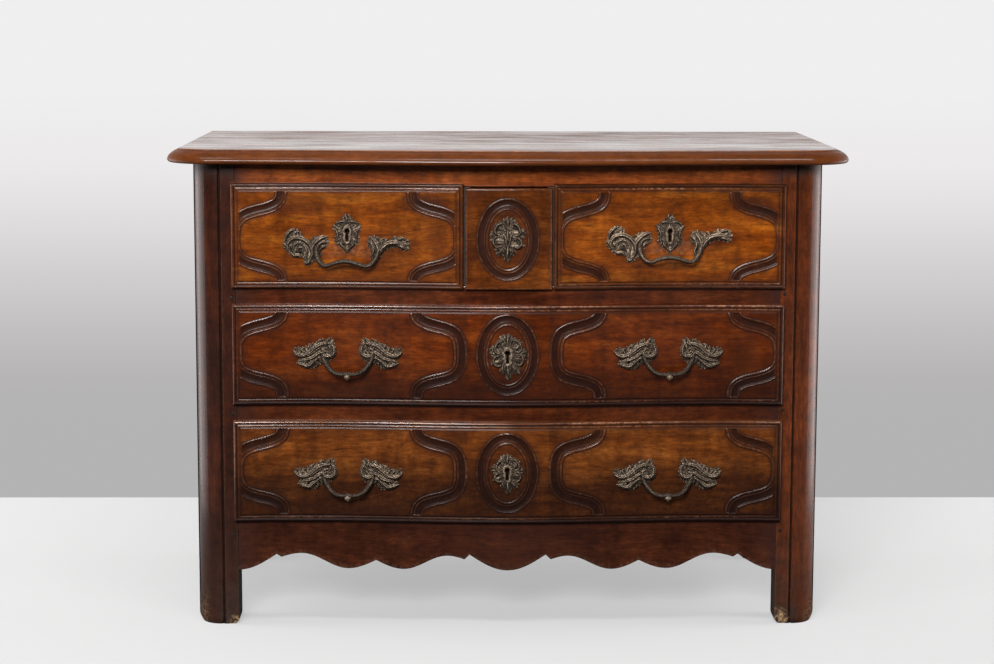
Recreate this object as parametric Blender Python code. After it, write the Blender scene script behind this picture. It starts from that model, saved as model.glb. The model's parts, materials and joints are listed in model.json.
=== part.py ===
"""A walnut commode: moulded top, four posts, three tiers of drawers with carved fronts and bronze mounts."""

import math

import bmesh
import bpy
from mathutils import Matrix
from mathutils import Vector

for old in list(bpy.data.objects):
    bpy.data.objects.remove(old, do_unlink=True)

# Overall size
TOP_WIDTH = 1.265
TOP_DEPTH = 0.625
HEIGHT = 0.900

# Fits
GAP = 0.0003
RUNNING_CLEARANCE = 0.0015
CUT_OVERRUN = 0.003
CUT_REACH = 0.010

# Top
TOP_THICKNESS = 0.026
TOP_BOW = 0.033
TOP_CORNER_RADIUS = 0.082
TOP_OVERHANG = 0.048
TOP_SIDE_OVERHANG = 0.0455
TOP_REAR_OVERHANG = 0.005
TOP_SEAM_SHARE = 0.60
TOP_TONGUE_THICKNESS = 0.008
TOP_TONGUE_LENGTH = 0.009
TOP_TONGUE_STOP = 0.060
CORNER_STEPS = 5
EDGE_SPANS = 6

# Posts
POST_SIZE = 0.081
POST_STRIP = 0.0255
POST_QUIRK = 0.006
POST_QUIRK_DEPTH = 0.0045
REAR_POST_DEPTH = 0.060
FOOT_ROUND_HEIGHT = 0.008
FOOT_ROUND_SCALE = 0.90
ROUND_STEPS = 8

# Front rails and apron
RAIL_THICKNESS = 0.030
RAIL_HEIGHT = 0.042
TOP_RAIL_HEIGHT = 0.0427
TENON_LENGTH = 0.025
TENON_THICKNESS = 0.012
TENON_SETBACK = 0.009
TENON_SHOULDER = 0.006
APRON_TOP = 0.207
LOWER_PARTS = 60
MIDDLE_PARTS = 59
TOP_PARTS = 61
WAVE_SWING = 0.010
WAVE_HALF_LENGTH = 0.385
STRIPS = 16

# Sides and back
SIDE_SETBACK = 0.003
SIDE_RAIL_THICKNESS = 0.026
SIDE_RAIL_TOP_HEIGHT = 0.070
SIDE_RAIL_BOTTOM_LOW = 0.112
SIDE_RAIL_BOTTOM_HEIGHT = 0.090
SIDE_TENON_LENGTH = 0.020
SIDE_TENON_THICKNESS = 0.010
PANEL_TONGUE = 0.008
PANEL_EDGE_THICKNESS = 0.007
PANEL_FIELD_RISE = 0.006
PANEL_BEVEL_WIDTH = 0.040
PANEL_MARGIN = 0.004
BACK_THICKNESS = 0.018
BACK_REBATE = 0.012
BACK_LOW = 0.112
HOUSING_DEPTH = 0.006

# Dust boards and partitions
BOARD_THICKNESS = 0.016
BOARD_TONGUE_THICKNESS = 0.008
BOARD_TONGUE_LENGTH = 0.008
PARTITION_THICKNESS = 0.020
FRONT_GAP = 0.0035

# Drawer fronts
LIP = 0.006
LIP_THICKNESS = 0.014
FRONT_BODY = 0.018
FRONT_EDGE_ROUND = 0.004
BORDER_WIDTH = 0.0145
BORDER_GROOVE_HALF = 0.0022
BORDER_GROOVE_DEPTH = 0.0025
CHANNEL_HALF = 0.0108
CHANNEL_DEPTH = 0.0036
CHANNEL_RIDGE_DEPTH = 0.0012
CHANNEL_HOLLOW = 0.0045
OGEE_REACH = 0.093
OGEE_WAIST_REACH = 0.054
OGEE_WAIST_RISE = 0.625
OGEE_APEX = 0.0112
OGEE_LEAN = 0.001
OGEE_WAIST_OUT = 0.030
OGEE_WAIST_IN = 0.028
OVAL_HALF_WIDTH = 0.0470
OVAL_HALF_HEIGHT = 0.0655
SECRET_WIDTH = 0.160
OGEE_STEPS = 5
OVAL_STEPS = 5

# Drawer boxes
SIDE_THICKNESS = 0.012
SIDE_HEADROOM = 0.006
TAIL_LENGTH = 0.012
TAILS = 3
TAIL_BASE_SHARE = 0.46
TAIL_TIP_SHARE = 0.62
BACK_BOARD_THICKNESS = 0.012
BOTTOM_THICKNESS = 0.008
BOTTOM_RISE = 0.009
BOTTOM_GROOVE = 0.005
DRAWER_REAR_SPACE = 0.012
TRAY_WALL = 0.008

# Mounts
LEAF_THICKNESS = 0.004
STUD_RADIUS = 0.0028
STUD_LENGTH = 0.0115
STUD_CLEARANCE = 0.0003
STUD_SIDES = 6
BAIL_RADIUS = 0.0038
BAIL_REACH = 0.030
KNOP_RADIUS = 0.0052
ESCUTCHEON_EDGE = 0.0025
ESCUTCHEON_CROWN = 0.0065
ESCUTCHEON_LOBES = 8
ESCUTCHEON_NOTCH = 0.16
ESCUTCHEON_BOSS = 0.0008
LARGE_MOUNT = (0.033, 0.040, 0.041)
TOP_ESCUTCHEON = (0.028, 0.036, 0.037)
LOWER_ESCUTCHEON = (0.028, 0.034, 0.035)
TOP_ESCUTCHEON_RISE = 0.004
KEYHOLE_RADIUS = 0.0036
KEYHOLE_SLOT_HALF = 0.0018
KEYHOLE_DROP = 0.014
KEYHOLE_STEPS = 6
LOCK_PLATE_WIDTH = 0.084
LOCK_PLATE_HEIGHT = 0.060
LOCK_PLATE_THICKNESS = 0.002
LOCK_CASE_WIDTH = 0.064
LOCK_CASE_HEIGHT = 0.046
LOCK_CASE_DEPTH = 0.012

# What follows from the sizes above
FRONT_Y = -TOP_DEPTH / 2 + TOP_BOW + TOP_OVERHANG
BACK_Y = TOP_DEPTH / 2 - TOP_REAR_OVERHANG
CASE_TOP = HEIGHT - TOP_THICKNESS - GAP
OUT_X = TOP_WIDTH / 2 - TOP_SIDE_OVERHANG
IN_X = OUT_X - POST_SIZE
STRIP_WIDTH = 2 * IN_X / STRIPS
STATIONS = [(k - STRIPS / 2) * STRIP_WIDTH for k in range(STRIPS + 1)]
OPENINGS = CASE_TOP - TOP_RAIL_HEIGHT - 2 * RAIL_HEIGHT - APRON_TOP
OPENING_PART = OPENINGS / (LOWER_PARTS + MIDDLE_PARTS + TOP_PARTS)
LOWER_Z = (APRON_TOP, APRON_TOP + LOWER_PARTS * OPENING_PART)
MIDDLE_LOW = LOWER_Z[1] + RAIL_HEIGHT
MIDDLE_Z = (MIDDLE_LOW, MIDDLE_LOW + MIDDLE_PARTS * OPENING_PART)
TOP_Z = (MIDDLE_Z[1] + RAIL_HEIGHT, CASE_TOP - TOP_RAIL_HEIGHT)
BACK_SEAM = (MIDDLE_Z[0] + MIDDLE_Z[1]) / 2
LIP_BACK_Y = FRONT_Y - GAP
FACE_Y = LIP_BACK_Y - LIP_THICKNESS
BODY_BACK_Y = FRONT_Y + FRONT_BODY
PARTITION_X = SECRET_WIDTH / 2 + FRONT_GAP / 2
PARTITION_IN = PARTITION_X - PARTITION_THICKNESS / 2
PARTITION_OUT = PARTITION_X + PARTITION_THICKNESS / 2
PARTITION_LIP = (PARTITION_THICKNESS - FRONT_GAP) / 2
BACK_INNER_Y = BACK_Y - BACK_THICKNESS
DRAWER_END_Y = BACK_INNER_Y - DRAWER_REAR_SPACE
CARTOUCHE_IN = PARTITION_OUT - PARTITION_LIP
CARTOUCHE_OUT = IN_X + LIP
CARTOUCHE_X = (CARTOUCHE_IN + CARTOUCHE_OUT) / 2

# Finishes: colour, roughness, metallic
WALNUT = ((0.19, 0.075, 0.030), 0.38, 0.0)
DARK_WALNUT = ((0.095, 0.036, 0.020), 0.42, 0.0)
OAK = ((0.36, 0.24, 0.13), 0.62, 0.0)
BRONZE = ((0.22, 0.19, 0.13), 0.42, 0.9)
IRON = ((0.10, 0.095, 0.09), 0.55, 0.9)

PARTS = bpy.data.collections.new("commode")
CUTTERS = bpy.data.collections.new("commode_cutters")
bpy.context.scene.collection.children.link(PARTS)
bpy.context.scene.collection.children.link(CUTTERS)


def finish_material(name, finish):
    """A plain surface of one colour, roughness and metallic value."""
    colour, roughness, metallic = finish
    material = bpy.data.materials.new(name + "_finish")
    material.use_nodes = True
    shader = material.node_tree.nodes["Principled BSDF"]
    shader.inputs["Base Color"].default_value = (*colour, 1.0)
    shader.inputs["Roughness"].default_value = roughness
    shader.inputs["Metallic"].default_value = metallic
    material.diffuse_color = (*colour, 1.0)
    return material


def make_part(bm, name, finish):
    """A named piece of the commode from a bmesh."""
    bmesh.ops.recalc_face_normals(bm, faces=bm.faces)
    mesh = bpy.data.meshes.new(name)
    bm.to_mesh(mesh)
    bm.free()
    obj = bpy.data.objects.new(name, mesh)
    mesh.materials.append(finish_material(name, finish))
    PARTS.objects.link(obj)
    return obj


def make_cutter(bm, name):
    """A shape that cuts or joins a piece and isn't one itself."""
    bmesh.ops.recalc_face_normals(bm, faces=bm.faces)
    mesh = bpy.data.meshes.new(name)
    bm.to_mesh(mesh)
    bm.free()
    obj = bpy.data.objects.new(name, mesh)
    obj.hide_render = True
    obj.display_type = "WIRE"
    CUTTERS.objects.link(obj)
    return obj


def add_box(bm, low, high):
    """A box between two corners."""
    low = Vector(low)
    high = Vector(high)
    size = high - low
    place = Matrix.Translation((low + high) / 2) @ Matrix.Diagonal((*size, 1.0))
    bmesh.ops.create_cube(bm, size=1.0, matrix=place)


def add_loft(bm, rings):
    """A closed skin through rings of equally many points, with both ends capped."""
    rows = [[bm.verts.new(point) for point in ring] for ring in rings]
    count = len(rows[0])
    for lower, upper in zip(rows, rows[1:]):
        for i in range(count):
            j = (i + 1) % count
            bm.faces.new((lower[i], lower[j], upper[j], upper[i]))
    bm.faces.new(list(reversed(rows[0])))
    bm.faces.new(rows[-1])


def add_bar_x(bm, outline, x0, x1):
    """A board of the given (y, z) outline between two x planes."""
    add_loft(bm, [[(x, y, z) for y, z in outline] for x in (x0, x1)])


def add_bar_y(bm, outline, y0, y1):
    """A board of the given (x, z) outline between two y planes."""
    add_loft(bm, [[(x, y, z) for x, z in outline] for y in (y0, y1)])


def add_pin_y(bm, x, z, radius, y0, y1, sides):
    """A round pin along y."""
    turns = [2 * math.pi * k / sides for k in range(sides)]
    ring = [(x + radius * math.cos(t), z + radius * math.sin(t)) for t in turns]
    add_bar_y(bm, ring, y0, y1)


def boolean(obj, other, operation):
    modifier = obj.modifiers.new(other.name, "BOOLEAN")
    modifier.operation = operation
    modifier.solver = "EXACT"
    modifier.object = other


def cut_boxes(obj, boxes):
    """Cuts each box of a list out of a piece."""
    bm = bmesh.new()
    for low, high in boxes:
        add_box(bm, low, high)
    boolean(obj, make_cutter(bm, obj.name + "_cutter"), "DIFFERENCE")


def join_boxes(obj, boxes):
    """Joins each box of a list to a piece."""
    bm = bmesh.new()
    for low, high in boxes:
        add_box(bm, low, high)
    boolean(obj, make_cutter(bm, obj.name + "_tenons"), "UNION")


def settle(obj):
    """Turns a piece with its modifiers into a plain mesh, and drops the helpers that shaped it."""
    bpy.context.view_layer.update()
    graph = bpy.context.evaluated_depsgraph_get()
    mesh = bpy.data.meshes.new_from_object(obj.evaluated_get(graph))
    helpers = [modifier.object for modifier in obj.modifiers]
    obj.modifiers.clear()
    obj.data = mesh
    for helper in helpers:
        bpy.data.objects.remove(helper, do_unlink=True)


def slice_at_stations(bm):
    """Edges across a piece wherever the wave of the front changes direction."""
    for x in STATIONS:
        everything = bm.verts[:] + bm.edges[:] + bm.faces[:]
        bmesh.ops.bisect_plane(bm, geom=everything, dist=1e-6, plane_co=(x, 0, 0), plane_no=(1, 0, 0))


def wave(x):
    """How far the front stands out at x: full in the middle, hollow at the quarters, nothing at the posts."""
    ends = math.cos(math.pi * IN_X / WAVE_HALF_LENGTH)
    return WAVE_SWING * (math.cos(math.pi * x / WAVE_HALF_LENGTH) - ends)


def bow(x):
    """The wave in straight strips between stations."""
    place = min(max(x / STRIP_WIDTH + STRIPS / 2, 0), STRIPS)
    strip = min(int(place), STRIPS - 1)
    share = place - strip
    return (1 - share) * wave(STATIONS[strip]) + share * wave(STATIONS[strip + 1])


def bend_front(obj, behind):
    """Moves every point in front of a plane out by the bow of the front."""
    for vertex in obj.data.vertices:
        if vertex.co.y < behind:
            vertex.co.y -= bow(vertex.co.x)


def top_front(x, reach):
    """The front edge of the top: a single soft bow that dies out at the rounded corners."""
    return -TOP_DEPTH / 2 + TOP_BOW * (0.5 - 0.5 * math.cos(math.pi * x / reach))


def top_outline():
    """Points round the top with the direction that its moulding faces, from the back left corner."""
    half = TOP_WIDTH / 2
    reach = half - TOP_CORNER_RADIUS
    centre_y = -TOP_DEPTH / 2 + TOP_BOW + TOP_CORNER_RADIUS
    right = [((half, TOP_DEPTH / 2), (1.0, 0.0))]
    for k in range(CORNER_STEPS + 1):
        angle = -math.pi / 2 * k / CORNER_STEPS
        facing = (math.cos(angle), math.sin(angle))
        x = reach + TOP_CORNER_RADIUS * facing[0]
        y = centre_y + TOP_CORNER_RADIUS * facing[1]
        right.append(((x, y), facing))
    front = []
    for k in range(1, EDGE_SPANS):
        x = reach * (1 - k / EDGE_SPANS)
        slope = TOP_BOW * 0.5 * math.pi / reach * math.sin(math.pi * x / reach)
        length = math.hypot(slope, 1.0)
        front.append(((x, top_front(x, reach)), (slope / length, -1.0 / length)))
    middle = [((0.0, -TOP_DEPTH / 2), (0.0, -1.0))]
    half_round = right + front
    other = [((-p[0], p[1]), (-n[0], n[1])) for p, n in reversed(half_round)]
    return half_round + middle + other


# Edge moulding of the top, from its upper arris: setback from the nose, drop below the surface
TOP_PROFILE = (
    (0.0200, 0.0000),
    (0.0192, 0.0022),
    (0.0165, 0.0030),
    (0.0105, 0.0062),
    (0.0050, 0.0110),
    (0.0012, 0.0165),
    (0.0000, 0.0200),
    (0.0018, 0.0238),
    (0.0070, TOP_THICKNESS),
)


def top_board(name, seam_y, keep_front):
    """One of the two boards of the top, moulded on its outer edges and cut straight at the seam."""
    bm = bmesh.new()
    outline = top_outline()
    rings = []
    for inset, drop in reversed(TOP_PROFILE):
        ring = [(p[0] - n[0] * inset, p[1] - n[1] * inset, HEIGHT - drop) for p, n in outline]
        rings.append(ring)
    add_loft(bm, rings)
    bmesh.ops.recalc_face_normals(bm, faces=bm.faces)
    facing = 1.0 if keep_front else -1.0
    everything = bm.verts[:] + bm.edges[:] + bm.faces[:]
    bmesh.ops.bisect_plane(
        bm,
        geom=everything,
        dist=1e-7,
        plane_co=(0, seam_y - facing * GAP / 2, 0),
        plane_no=(0, facing, 0),
        clear_outer=True,
    )
    rim = [edge for edge in bm.edges if edge.is_boundary]
    bmesh.ops.edgeloop_fill(bm, edges=rim)
    return make_part(bm, name, WALNUT)


seam_y = -TOP_DEPTH / 2 + TOP_SEAM_SHARE * TOP_DEPTH
top_front_board = top_board("top_front_board", seam_y, True)
top_rear_board = top_board("top_rear_board", seam_y, False)
tongue_x = TOP_WIDTH / 2 - TOP_TONGUE_STOP
tongue_z = HEIGHT - TOP_THICKNESS / 2 - TOP_TONGUE_THICKNESS / 2
join_boxes(
    top_rear_board,
    [
        (
            (-tongue_x, seam_y - TOP_TONGUE_LENGTH, tongue_z),
            (tongue_x, seam_y + TOP_TONGUE_LENGTH, tongue_z + TOP_TONGUE_THICKNESS),
        )
    ],
)
cut_boxes(
    top_front_board,
    [
        (
            (-tongue_x - GAP, seam_y - TOP_TONGUE_LENGTH - GAP, tongue_z - GAP),
            (tongue_x + GAP, seam_y + TOP_TONGUE_LENGTH, tongue_z + TOP_TONGUE_THICKNESS + GAP),
        )
    ],
)


def mirrored(box, side):
    """A box given for the right side, moved to the left where the side is negative."""
    low, high = box
    if side > 0:
        return box
    return ((-high[0], low[1], low[2]), (-low[0], high[1], high[2]))


def rail_tenon(z0, z1):
    """The tenon at the right end of a front rail."""
    return (
        (IN_X - TENON_LENGTH, FRONT_Y + TENON_SETBACK, z0 + TENON_SHOULDER),
        (IN_X + TENON_LENGTH, FRONT_Y + TENON_SETBACK + TENON_THICKNESS, z1 - TENON_SHOULDER),
    )


def grown(box, by):
    low, high = box
    return (tuple(v - by for v in low), tuple(v + by for v in high))


RAILS = {
    "rail_top": (TOP_Z[1], CASE_TOP),
    "rail_upper": (MIDDLE_Z[1], TOP_Z[0]),
    "rail_lower": (LOWER_Z[1], MIDDLE_Z[0]),
    "apron": (SIDE_RAIL_BOTTOM_LOW + TENON_SHOULDER, APRON_TOP),
}
SIDE_Y = (FRONT_Y + POST_SIZE, BACK_Y - REAR_POST_DEPTH)
SIDE_X = (OUT_X - SIDE_SETBACK - SIDE_RAIL_THICKNESS, OUT_X - SIDE_SETBACK)
SIDE_RAILS = {
    "side_rail_top": (CASE_TOP - SIDE_RAIL_TOP_HEIGHT, CASE_TOP),
    "side_rail_bottom": (SIDE_RAIL_BOTTOM_LOW, SIDE_RAIL_BOTTOM_LOW + SIDE_RAIL_BOTTOM_HEIGHT),
}
PANEL_Z = (SIDE_RAILS["side_rail_bottom"][1], SIDE_RAILS["side_rail_top"][0])
PANEL_X = (
    (SIDE_X[0] + SIDE_X[1] - PANEL_EDGE_THICKNESS) / 2,
    (SIDE_X[0] + SIDE_X[1] + PANEL_EDGE_THICKNESS) / 2,
)
PANEL_EDGE = (
    (PANEL_X[0], SIDE_Y[0] - PANEL_TONGUE, PANEL_Z[0] - PANEL_TONGUE),
    (PANEL_X[1], SIDE_Y[1] + PANEL_TONGUE, PANEL_Z[1] + PANEL_TONGUE),
)


def side_tenon(z0, z1):
    """The tenons of a right side rail, from the front post through to the rear post."""
    middle = (SIDE_X[0] + SIDE_X[1]) / 2
    return (
        (middle - SIDE_TENON_THICKNESS / 2, SIDE_Y[0] - SIDE_TENON_LENGTH, z0 + 2 * TENON_SHOULDER),
        (middle + SIDE_TENON_THICKNESS / 2, SIDE_Y[1] + SIDE_TENON_LENGTH, z1 - 2 * TENON_SHOULDER),
    )


def front_post_section():
    """Section of the right front post: flat strip, quirk, quarter round, quirk, flat strip."""
    radius = POST_SIZE - POST_STRIP - POST_QUIRK
    centre = (OUT_X - radius, FRONT_Y + radius)
    near = IN_X + POST_STRIP
    points = [(IN_X, FRONT_Y + POST_SIZE), (IN_X, FRONT_Y), (near, FRONT_Y)]
    points.append((near + POST_QUIRK * 0.25, FRONT_Y + POST_QUIRK_DEPTH))
    points.append((near + POST_QUIRK * 0.70, FRONT_Y + POST_QUIRK_DEPTH))
    for k in range(ROUND_STEPS + 1):
        angle = -math.pi / 2 + math.pi / 2 * k / ROUND_STEPS
        points.append((centre[0] + radius * math.cos(angle), centre[1] + radius * math.sin(angle)))
    far = FRONT_Y + radius
    points.append((OUT_X - POST_QUIRK_DEPTH, far + POST_QUIRK * 0.30))
    points.append((OUT_X - POST_QUIRK_DEPTH, far + POST_QUIRK * 0.75))
    points.append((OUT_X, far + POST_QUIRK))
    points.append((OUT_X, FRONT_Y + POST_SIZE))
    return points


def make_post(name, section, side, cuts):
    """A post from the floor to the top, its foot softened, with the mortises and grooves for what joins it."""
    middle = [sum(p[i] for p in section) / len(section) for i in (0, 1)]
    soft = []
    for x, y in section:
        soft_x = middle[0] + (x - middle[0]) * FOOT_ROUND_SCALE
        soft_y = middle[1] + (y - middle[1]) * FOOT_ROUND_SCALE
        soft.append((soft_x, soft_y))
    levels = ((soft, 0.0), (section, FOOT_ROUND_HEIGHT), (section, CASE_TOP))
    bm = bmesh.new()
    add_loft(bm, [[(side * x, y, z) for x, y in ring] for ring, z in levels])
    post = make_part(bm, name, DARK_WALNUT)
    cut_boxes(post, [mirrored(box, side) for box in cuts])
    return post


front_cuts = []
rear_cuts = []
for z0, z1 in RAILS.values():
    front_cuts.append(grown(rail_tenon(z0, z1), GAP))
for z0, z1 in SIDE_RAILS.values():
    front_cuts.append(grown(side_tenon(z0, z1), GAP))
    rear_cuts.append(grown(side_tenon(z0, z1), GAP))
front_cuts.append(grown(PANEL_EDGE, GAP))
rear_cuts.append(grown(PANEL_EDGE, GAP))
rear_cuts.append(
    (
        (IN_X - CUT_REACH, BACK_INNER_Y - GAP, BACK_LOW - GAP),
        (IN_X + BACK_REBATE, BACK_Y + CUT_REACH, HEIGHT),
    )
)
rear_section = [
    (IN_X, BACK_Y - REAR_POST_DEPTH),
    (OUT_X, BACK_Y - REAR_POST_DEPTH),
    (OUT_X, BACK_Y),
    (IN_X, BACK_Y),
]
for side, hand in ((-1, "left"), (1, "right")):
    make_post("post_front_" + hand, front_post_section(), side, front_cuts)
    make_post("post_rear_" + hand, rear_section, side, rear_cuts)


def board_tongue(z):
    """The tongue along the front edge of a dust board whose upper face lies at z."""
    low = z - BOARD_THICKNESS / 2 - BOARD_TONGUE_THICKNESS / 2
    return (
        (-IN_X + TENON_LENGTH, FRONT_Y + RAIL_THICKNESS - BOARD_TONGUE_LENGTH, low),
        (IN_X - TENON_LENGTH, FRONT_Y + RAIL_THICKNESS + 2 * BOARD_TONGUE_LENGTH, low + BOARD_TONGUE_THICKNESS),
    )


def finish_rail(rail, z0, z1, board_z):
    """Tenons, the groove for a dust board and the bowed face of a front rail."""
    tenon = rail_tenon(z0, z1)
    join_boxes(rail, [tenon, mirrored(tenon, -1)])
    if board_z:
        cut_boxes(rail, [grown(board_tongue(board_z), GAP)])
    settle(rail)
    bend_front(rail, FRONT_Y + GAP)


BOARD_LEVELS = {"rail_upper": TOP_Z[0], "rail_lower": MIDDLE_Z[0], "apron": LOWER_Z[0]}
for name in ("rail_top", "rail_upper", "rail_lower"):
    z0, z1 = RAILS[name]
    bm = bmesh.new()
    add_box(bm, (-IN_X + GAP, FRONT_Y, z0), (IN_X - GAP, FRONT_Y + RAIL_THICKNESS, z1))
    slice_at_stations(bm)
    finish_rail(make_part(bm, name, DARK_WALNUT), z0, z1, BOARD_LEVELS.get(name))

# Lower edge of the apron from a post to the middle: distance from the middle, height, and how the edge gets there
RISE_FROM_FLAT = "rise_from_flat"
RUN_TO_FLAT = "run_to_flat"
FLAT_TO_FLAT = "flat_to_flat"
STRAIGHT = "straight"
APRON_EDGE = (
    (0.4350, 0.1398, RISE_FROM_FLAT),
    (0.4265, 0.1340, STRAIGHT),
    (0.3880, 0.1412, RUN_TO_FLAT),
    (0.3000, 0.1120, FLAT_TO_FLAT),
    (0.2475, 0.1275, RISE_FROM_FLAT),
    (0.1960, 0.1112, RUN_TO_FLAT),
    (0.1130, 0.1370, FLAT_TO_FLAT),
    (0.0810, 0.1300, RISE_FROM_FLAT),
    (0.0715, 0.1390, STRAIGHT),
    (0.0000, 0.1090, RUN_TO_FLAT),
)
APRON_END = 0.1100
EDGE_STEPS = 5


def eased(share, way):
    if way == RISE_FROM_FLAT:
        return 1 - math.cos(share * math.pi / 2)
    if way == RUN_TO_FLAT:
        return math.sin(share * math.pi / 2)
    if way == FLAT_TO_FLAT:
        return 0.5 - 0.5 * math.cos(share * math.pi)
    return share


def apron_half_edge():
    """Points along the scalloped lower edge, from the right post to the middle."""
    points = [(IN_X - GAP, APRON_END)]
    for x1, z1, way in APRON_EDGE:
        x0, z0 = points[-1]
        steps = 1 if way == STRAIGHT else EDGE_STEPS
        for k in range(1, steps + 1):
            share = k / steps
            points.append((x0 + (x1 - x0) * share, z0 + (z1 - z0) * eased(share, way)))
    return points


def with_stations(points):
    """The points of an edge that runs from left to right, with one more wherever it crosses a station."""
    found = [points[0]]
    for (x0, z0), (x1, z1) in zip(points, points[1:]):
        for x in STATIONS:
            if x0 + 1e-4 < x < x1 - 1e-4:
                found.append((x, z0 + (z1 - z0) * (x - x0) / (x1 - x0)))
        found.append((x1, z1))
    return found


def apron_mesh(edge):
    """A board with a straight upper edge and a shaped lower edge, in strips between stations."""
    bm = bmesh.new()
    sheets = []
    for y in (FRONT_Y, FRONT_Y + RAIL_THICKNESS):
        low = [bm.verts.new((x, y, z)) for x, z in edge]
        tops = [min(max(x, edge[0][0]), edge[-1][0]) for x in STATIONS]
        high = [bm.verts.new((x, y, APRON_TOP)) for x in tops]
        sheets.append((low, high))
        for k in range(STRIPS):
            inside = [v for v in low if tops[k] - 2e-4 < v.co.x < tops[k + 1] + 2e-4]
            bm.faces.new(inside + [high[k + 1], high[k]])
    (low_front, high_front), (low_back, high_back) = sheets
    for i in range(len(edge) - 1):
        bm.faces.new((low_front[i], low_front[i + 1], low_back[i + 1], low_back[i]))
    for k in range(STRIPS):
        bm.faces.new((high_front[k], high_front[k + 1], high_back[k + 1], high_back[k]))
    bm.faces.new((low_front[0], high_front[0], high_back[0], low_back[0]))
    bm.faces.new((low_front[-1], high_front[-1], high_back[-1], low_back[-1]))
    return bm


half_edge = apron_half_edge()
edge = [(-x, z) for x, z in half_edge] + list(reversed(half_edge[:-1]))
apron = make_part(apron_mesh(with_stations(edge)), "apron", DARK_WALNUT)
finish_rail(apron, RAILS["apron"][0], APRON_TOP, LOWER_Z[0])

for side, hand in ((-1, "left"), (1, "right")):
    for name, (z0, z1) in SIDE_RAILS.items():
        bm = bmesh.new()
        low, high = mirrored(((SIDE_X[0], SIDE_Y[0] + GAP, z0), (SIDE_X[1], SIDE_Y[1] - GAP, z1)), side)
        add_box(bm, low, high)
        rail = make_part(bm, name + "_" + hand, DARK_WALNUT)
        join_boxes(rail, [mirrored(side_tenon(z0, z1), side)])
        cut_boxes(rail, [mirrored(grown(PANEL_EDGE, GAP), side)])
    inner = PANEL_X[0]
    outer = PANEL_X[1]
    levels = (
        (inner, 0.0),
        (outer, 0.0),
        (outer, PANEL_TONGUE + PANEL_MARGIN),
        (outer + PANEL_FIELD_RISE, PANEL_TONGUE + PANEL_BEVEL_WIDTH),
    )
    rings = []
    for x, inset in levels:
        y0 = PANEL_EDGE[0][1] + inset
        y1 = PANEL_EDGE[1][1] - inset
        z0 = PANEL_EDGE[0][2] + inset
        z1 = PANEL_EDGE[1][2] - inset
        rings.append([(side * x, y0, z0), (side * x, y1, z0), (side * x, y1, z1), (side * x, y0, z1)])
    bm = bmesh.new()
    add_loft(bm, rings)
    make_part(bm, "side_panel_" + hand, WALNUT)

BOARDS = {"dust_board_upper": TOP_Z[0], "dust_board_lower": MIDDLE_Z[0], "bottom_board": LOWER_Z[0]}
board_end_y = BACK_INNER_Y + HOUSING_DEPTH
board_x = IN_X - GAP
for name, z in BOARDS.items():
    bm = bmesh.new()
    low = (-board_x, FRONT_Y + RAIL_THICKNESS + GAP, z - BOARD_THICKNESS)
    add_box(bm, low, (board_x, board_end_y - GAP, z))
    board = make_part(bm, name, OAK)
    join_boxes(board, [board_tongue(z)])

BACK_BOARDS = {"back_board_lower": (BACK_LOW, BACK_SEAM), "back_board_upper": (BACK_SEAM + GAP, CASE_TOP)}
for name, (z0, z1) in BACK_BOARDS.items():
    bm = bmesh.new()
    half = IN_X + BACK_REBATE - GAP
    add_box(bm, (-half, BACK_INNER_Y, z0), (half, BACK_Y, z1))
    board = make_part(bm, name, OAK)
    housings = []
    for z in BOARDS.values():
        if z0 < z < z1:
            low = (-board_x - GAP, BACK_INNER_Y - CUT_REACH, z - BOARD_THICKNESS - GAP)
            housings.append((low, (board_x + GAP, board_end_y, z + GAP)))
    cut_boxes(board, housings)

for side, hand in ((-1, "left"), (1, "right")):
    near_y = FRONT_Y - bow(PARTITION_OUT)
    behind_y = FRONT_Y + RAIL_THICKNESS + GAP
    low_z = TOP_Z[0] + GAP
    outline = [
        (near_y, low_z),
        (BACK_INNER_Y - GAP, low_z),
        (BACK_INNER_Y - GAP, CASE_TOP - GAP),
        (behind_y, CASE_TOP - GAP),
        (behind_y, TOP_Z[1] - GAP),
        (near_y, TOP_Z[1] - GAP),
    ]
    bm = bmesh.new()
    add_bar_x(bm, outline, side * PARTITION_X - PARTITION_THICKNESS / 2, side * PARTITION_X + PARTITION_THICKNESS / 2)
    make_part(bm, "partition_" + hand, OAK)


def channel_section():
    """Section of a carved channel: two hollows with a low ridge between them, open to the face."""
    data = bpy.data.curves.new("channel_section", "CURVE")
    data.dimensions = "2D"
    spline = data.splines.new("POLY")
    points = (
        (-CHANNEL_HALF, CHANNEL_DEPTH * 0.6),
        (-CHANNEL_HOLLOW, -CHANNEL_DEPTH),
        (0.0, -CHANNEL_RIDGE_DEPTH),
        (CHANNEL_HOLLOW, -CHANNEL_DEPTH),
        (CHANNEL_HALF, CHANNEL_DEPTH * 0.6),
    )
    spline.points.add(len(points) - 1)
    for point, (u, v) in zip(spline.points, points):
        point.co = (u, v, 0.0, 1.0)
    spline.use_cyclic_u = True
    section = bpy.data.objects.new("channel_section", data)
    section.hide_render = True
    CUTTERS.objects.link(section)
    return section


CHANNEL_SECTION = channel_section()


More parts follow.
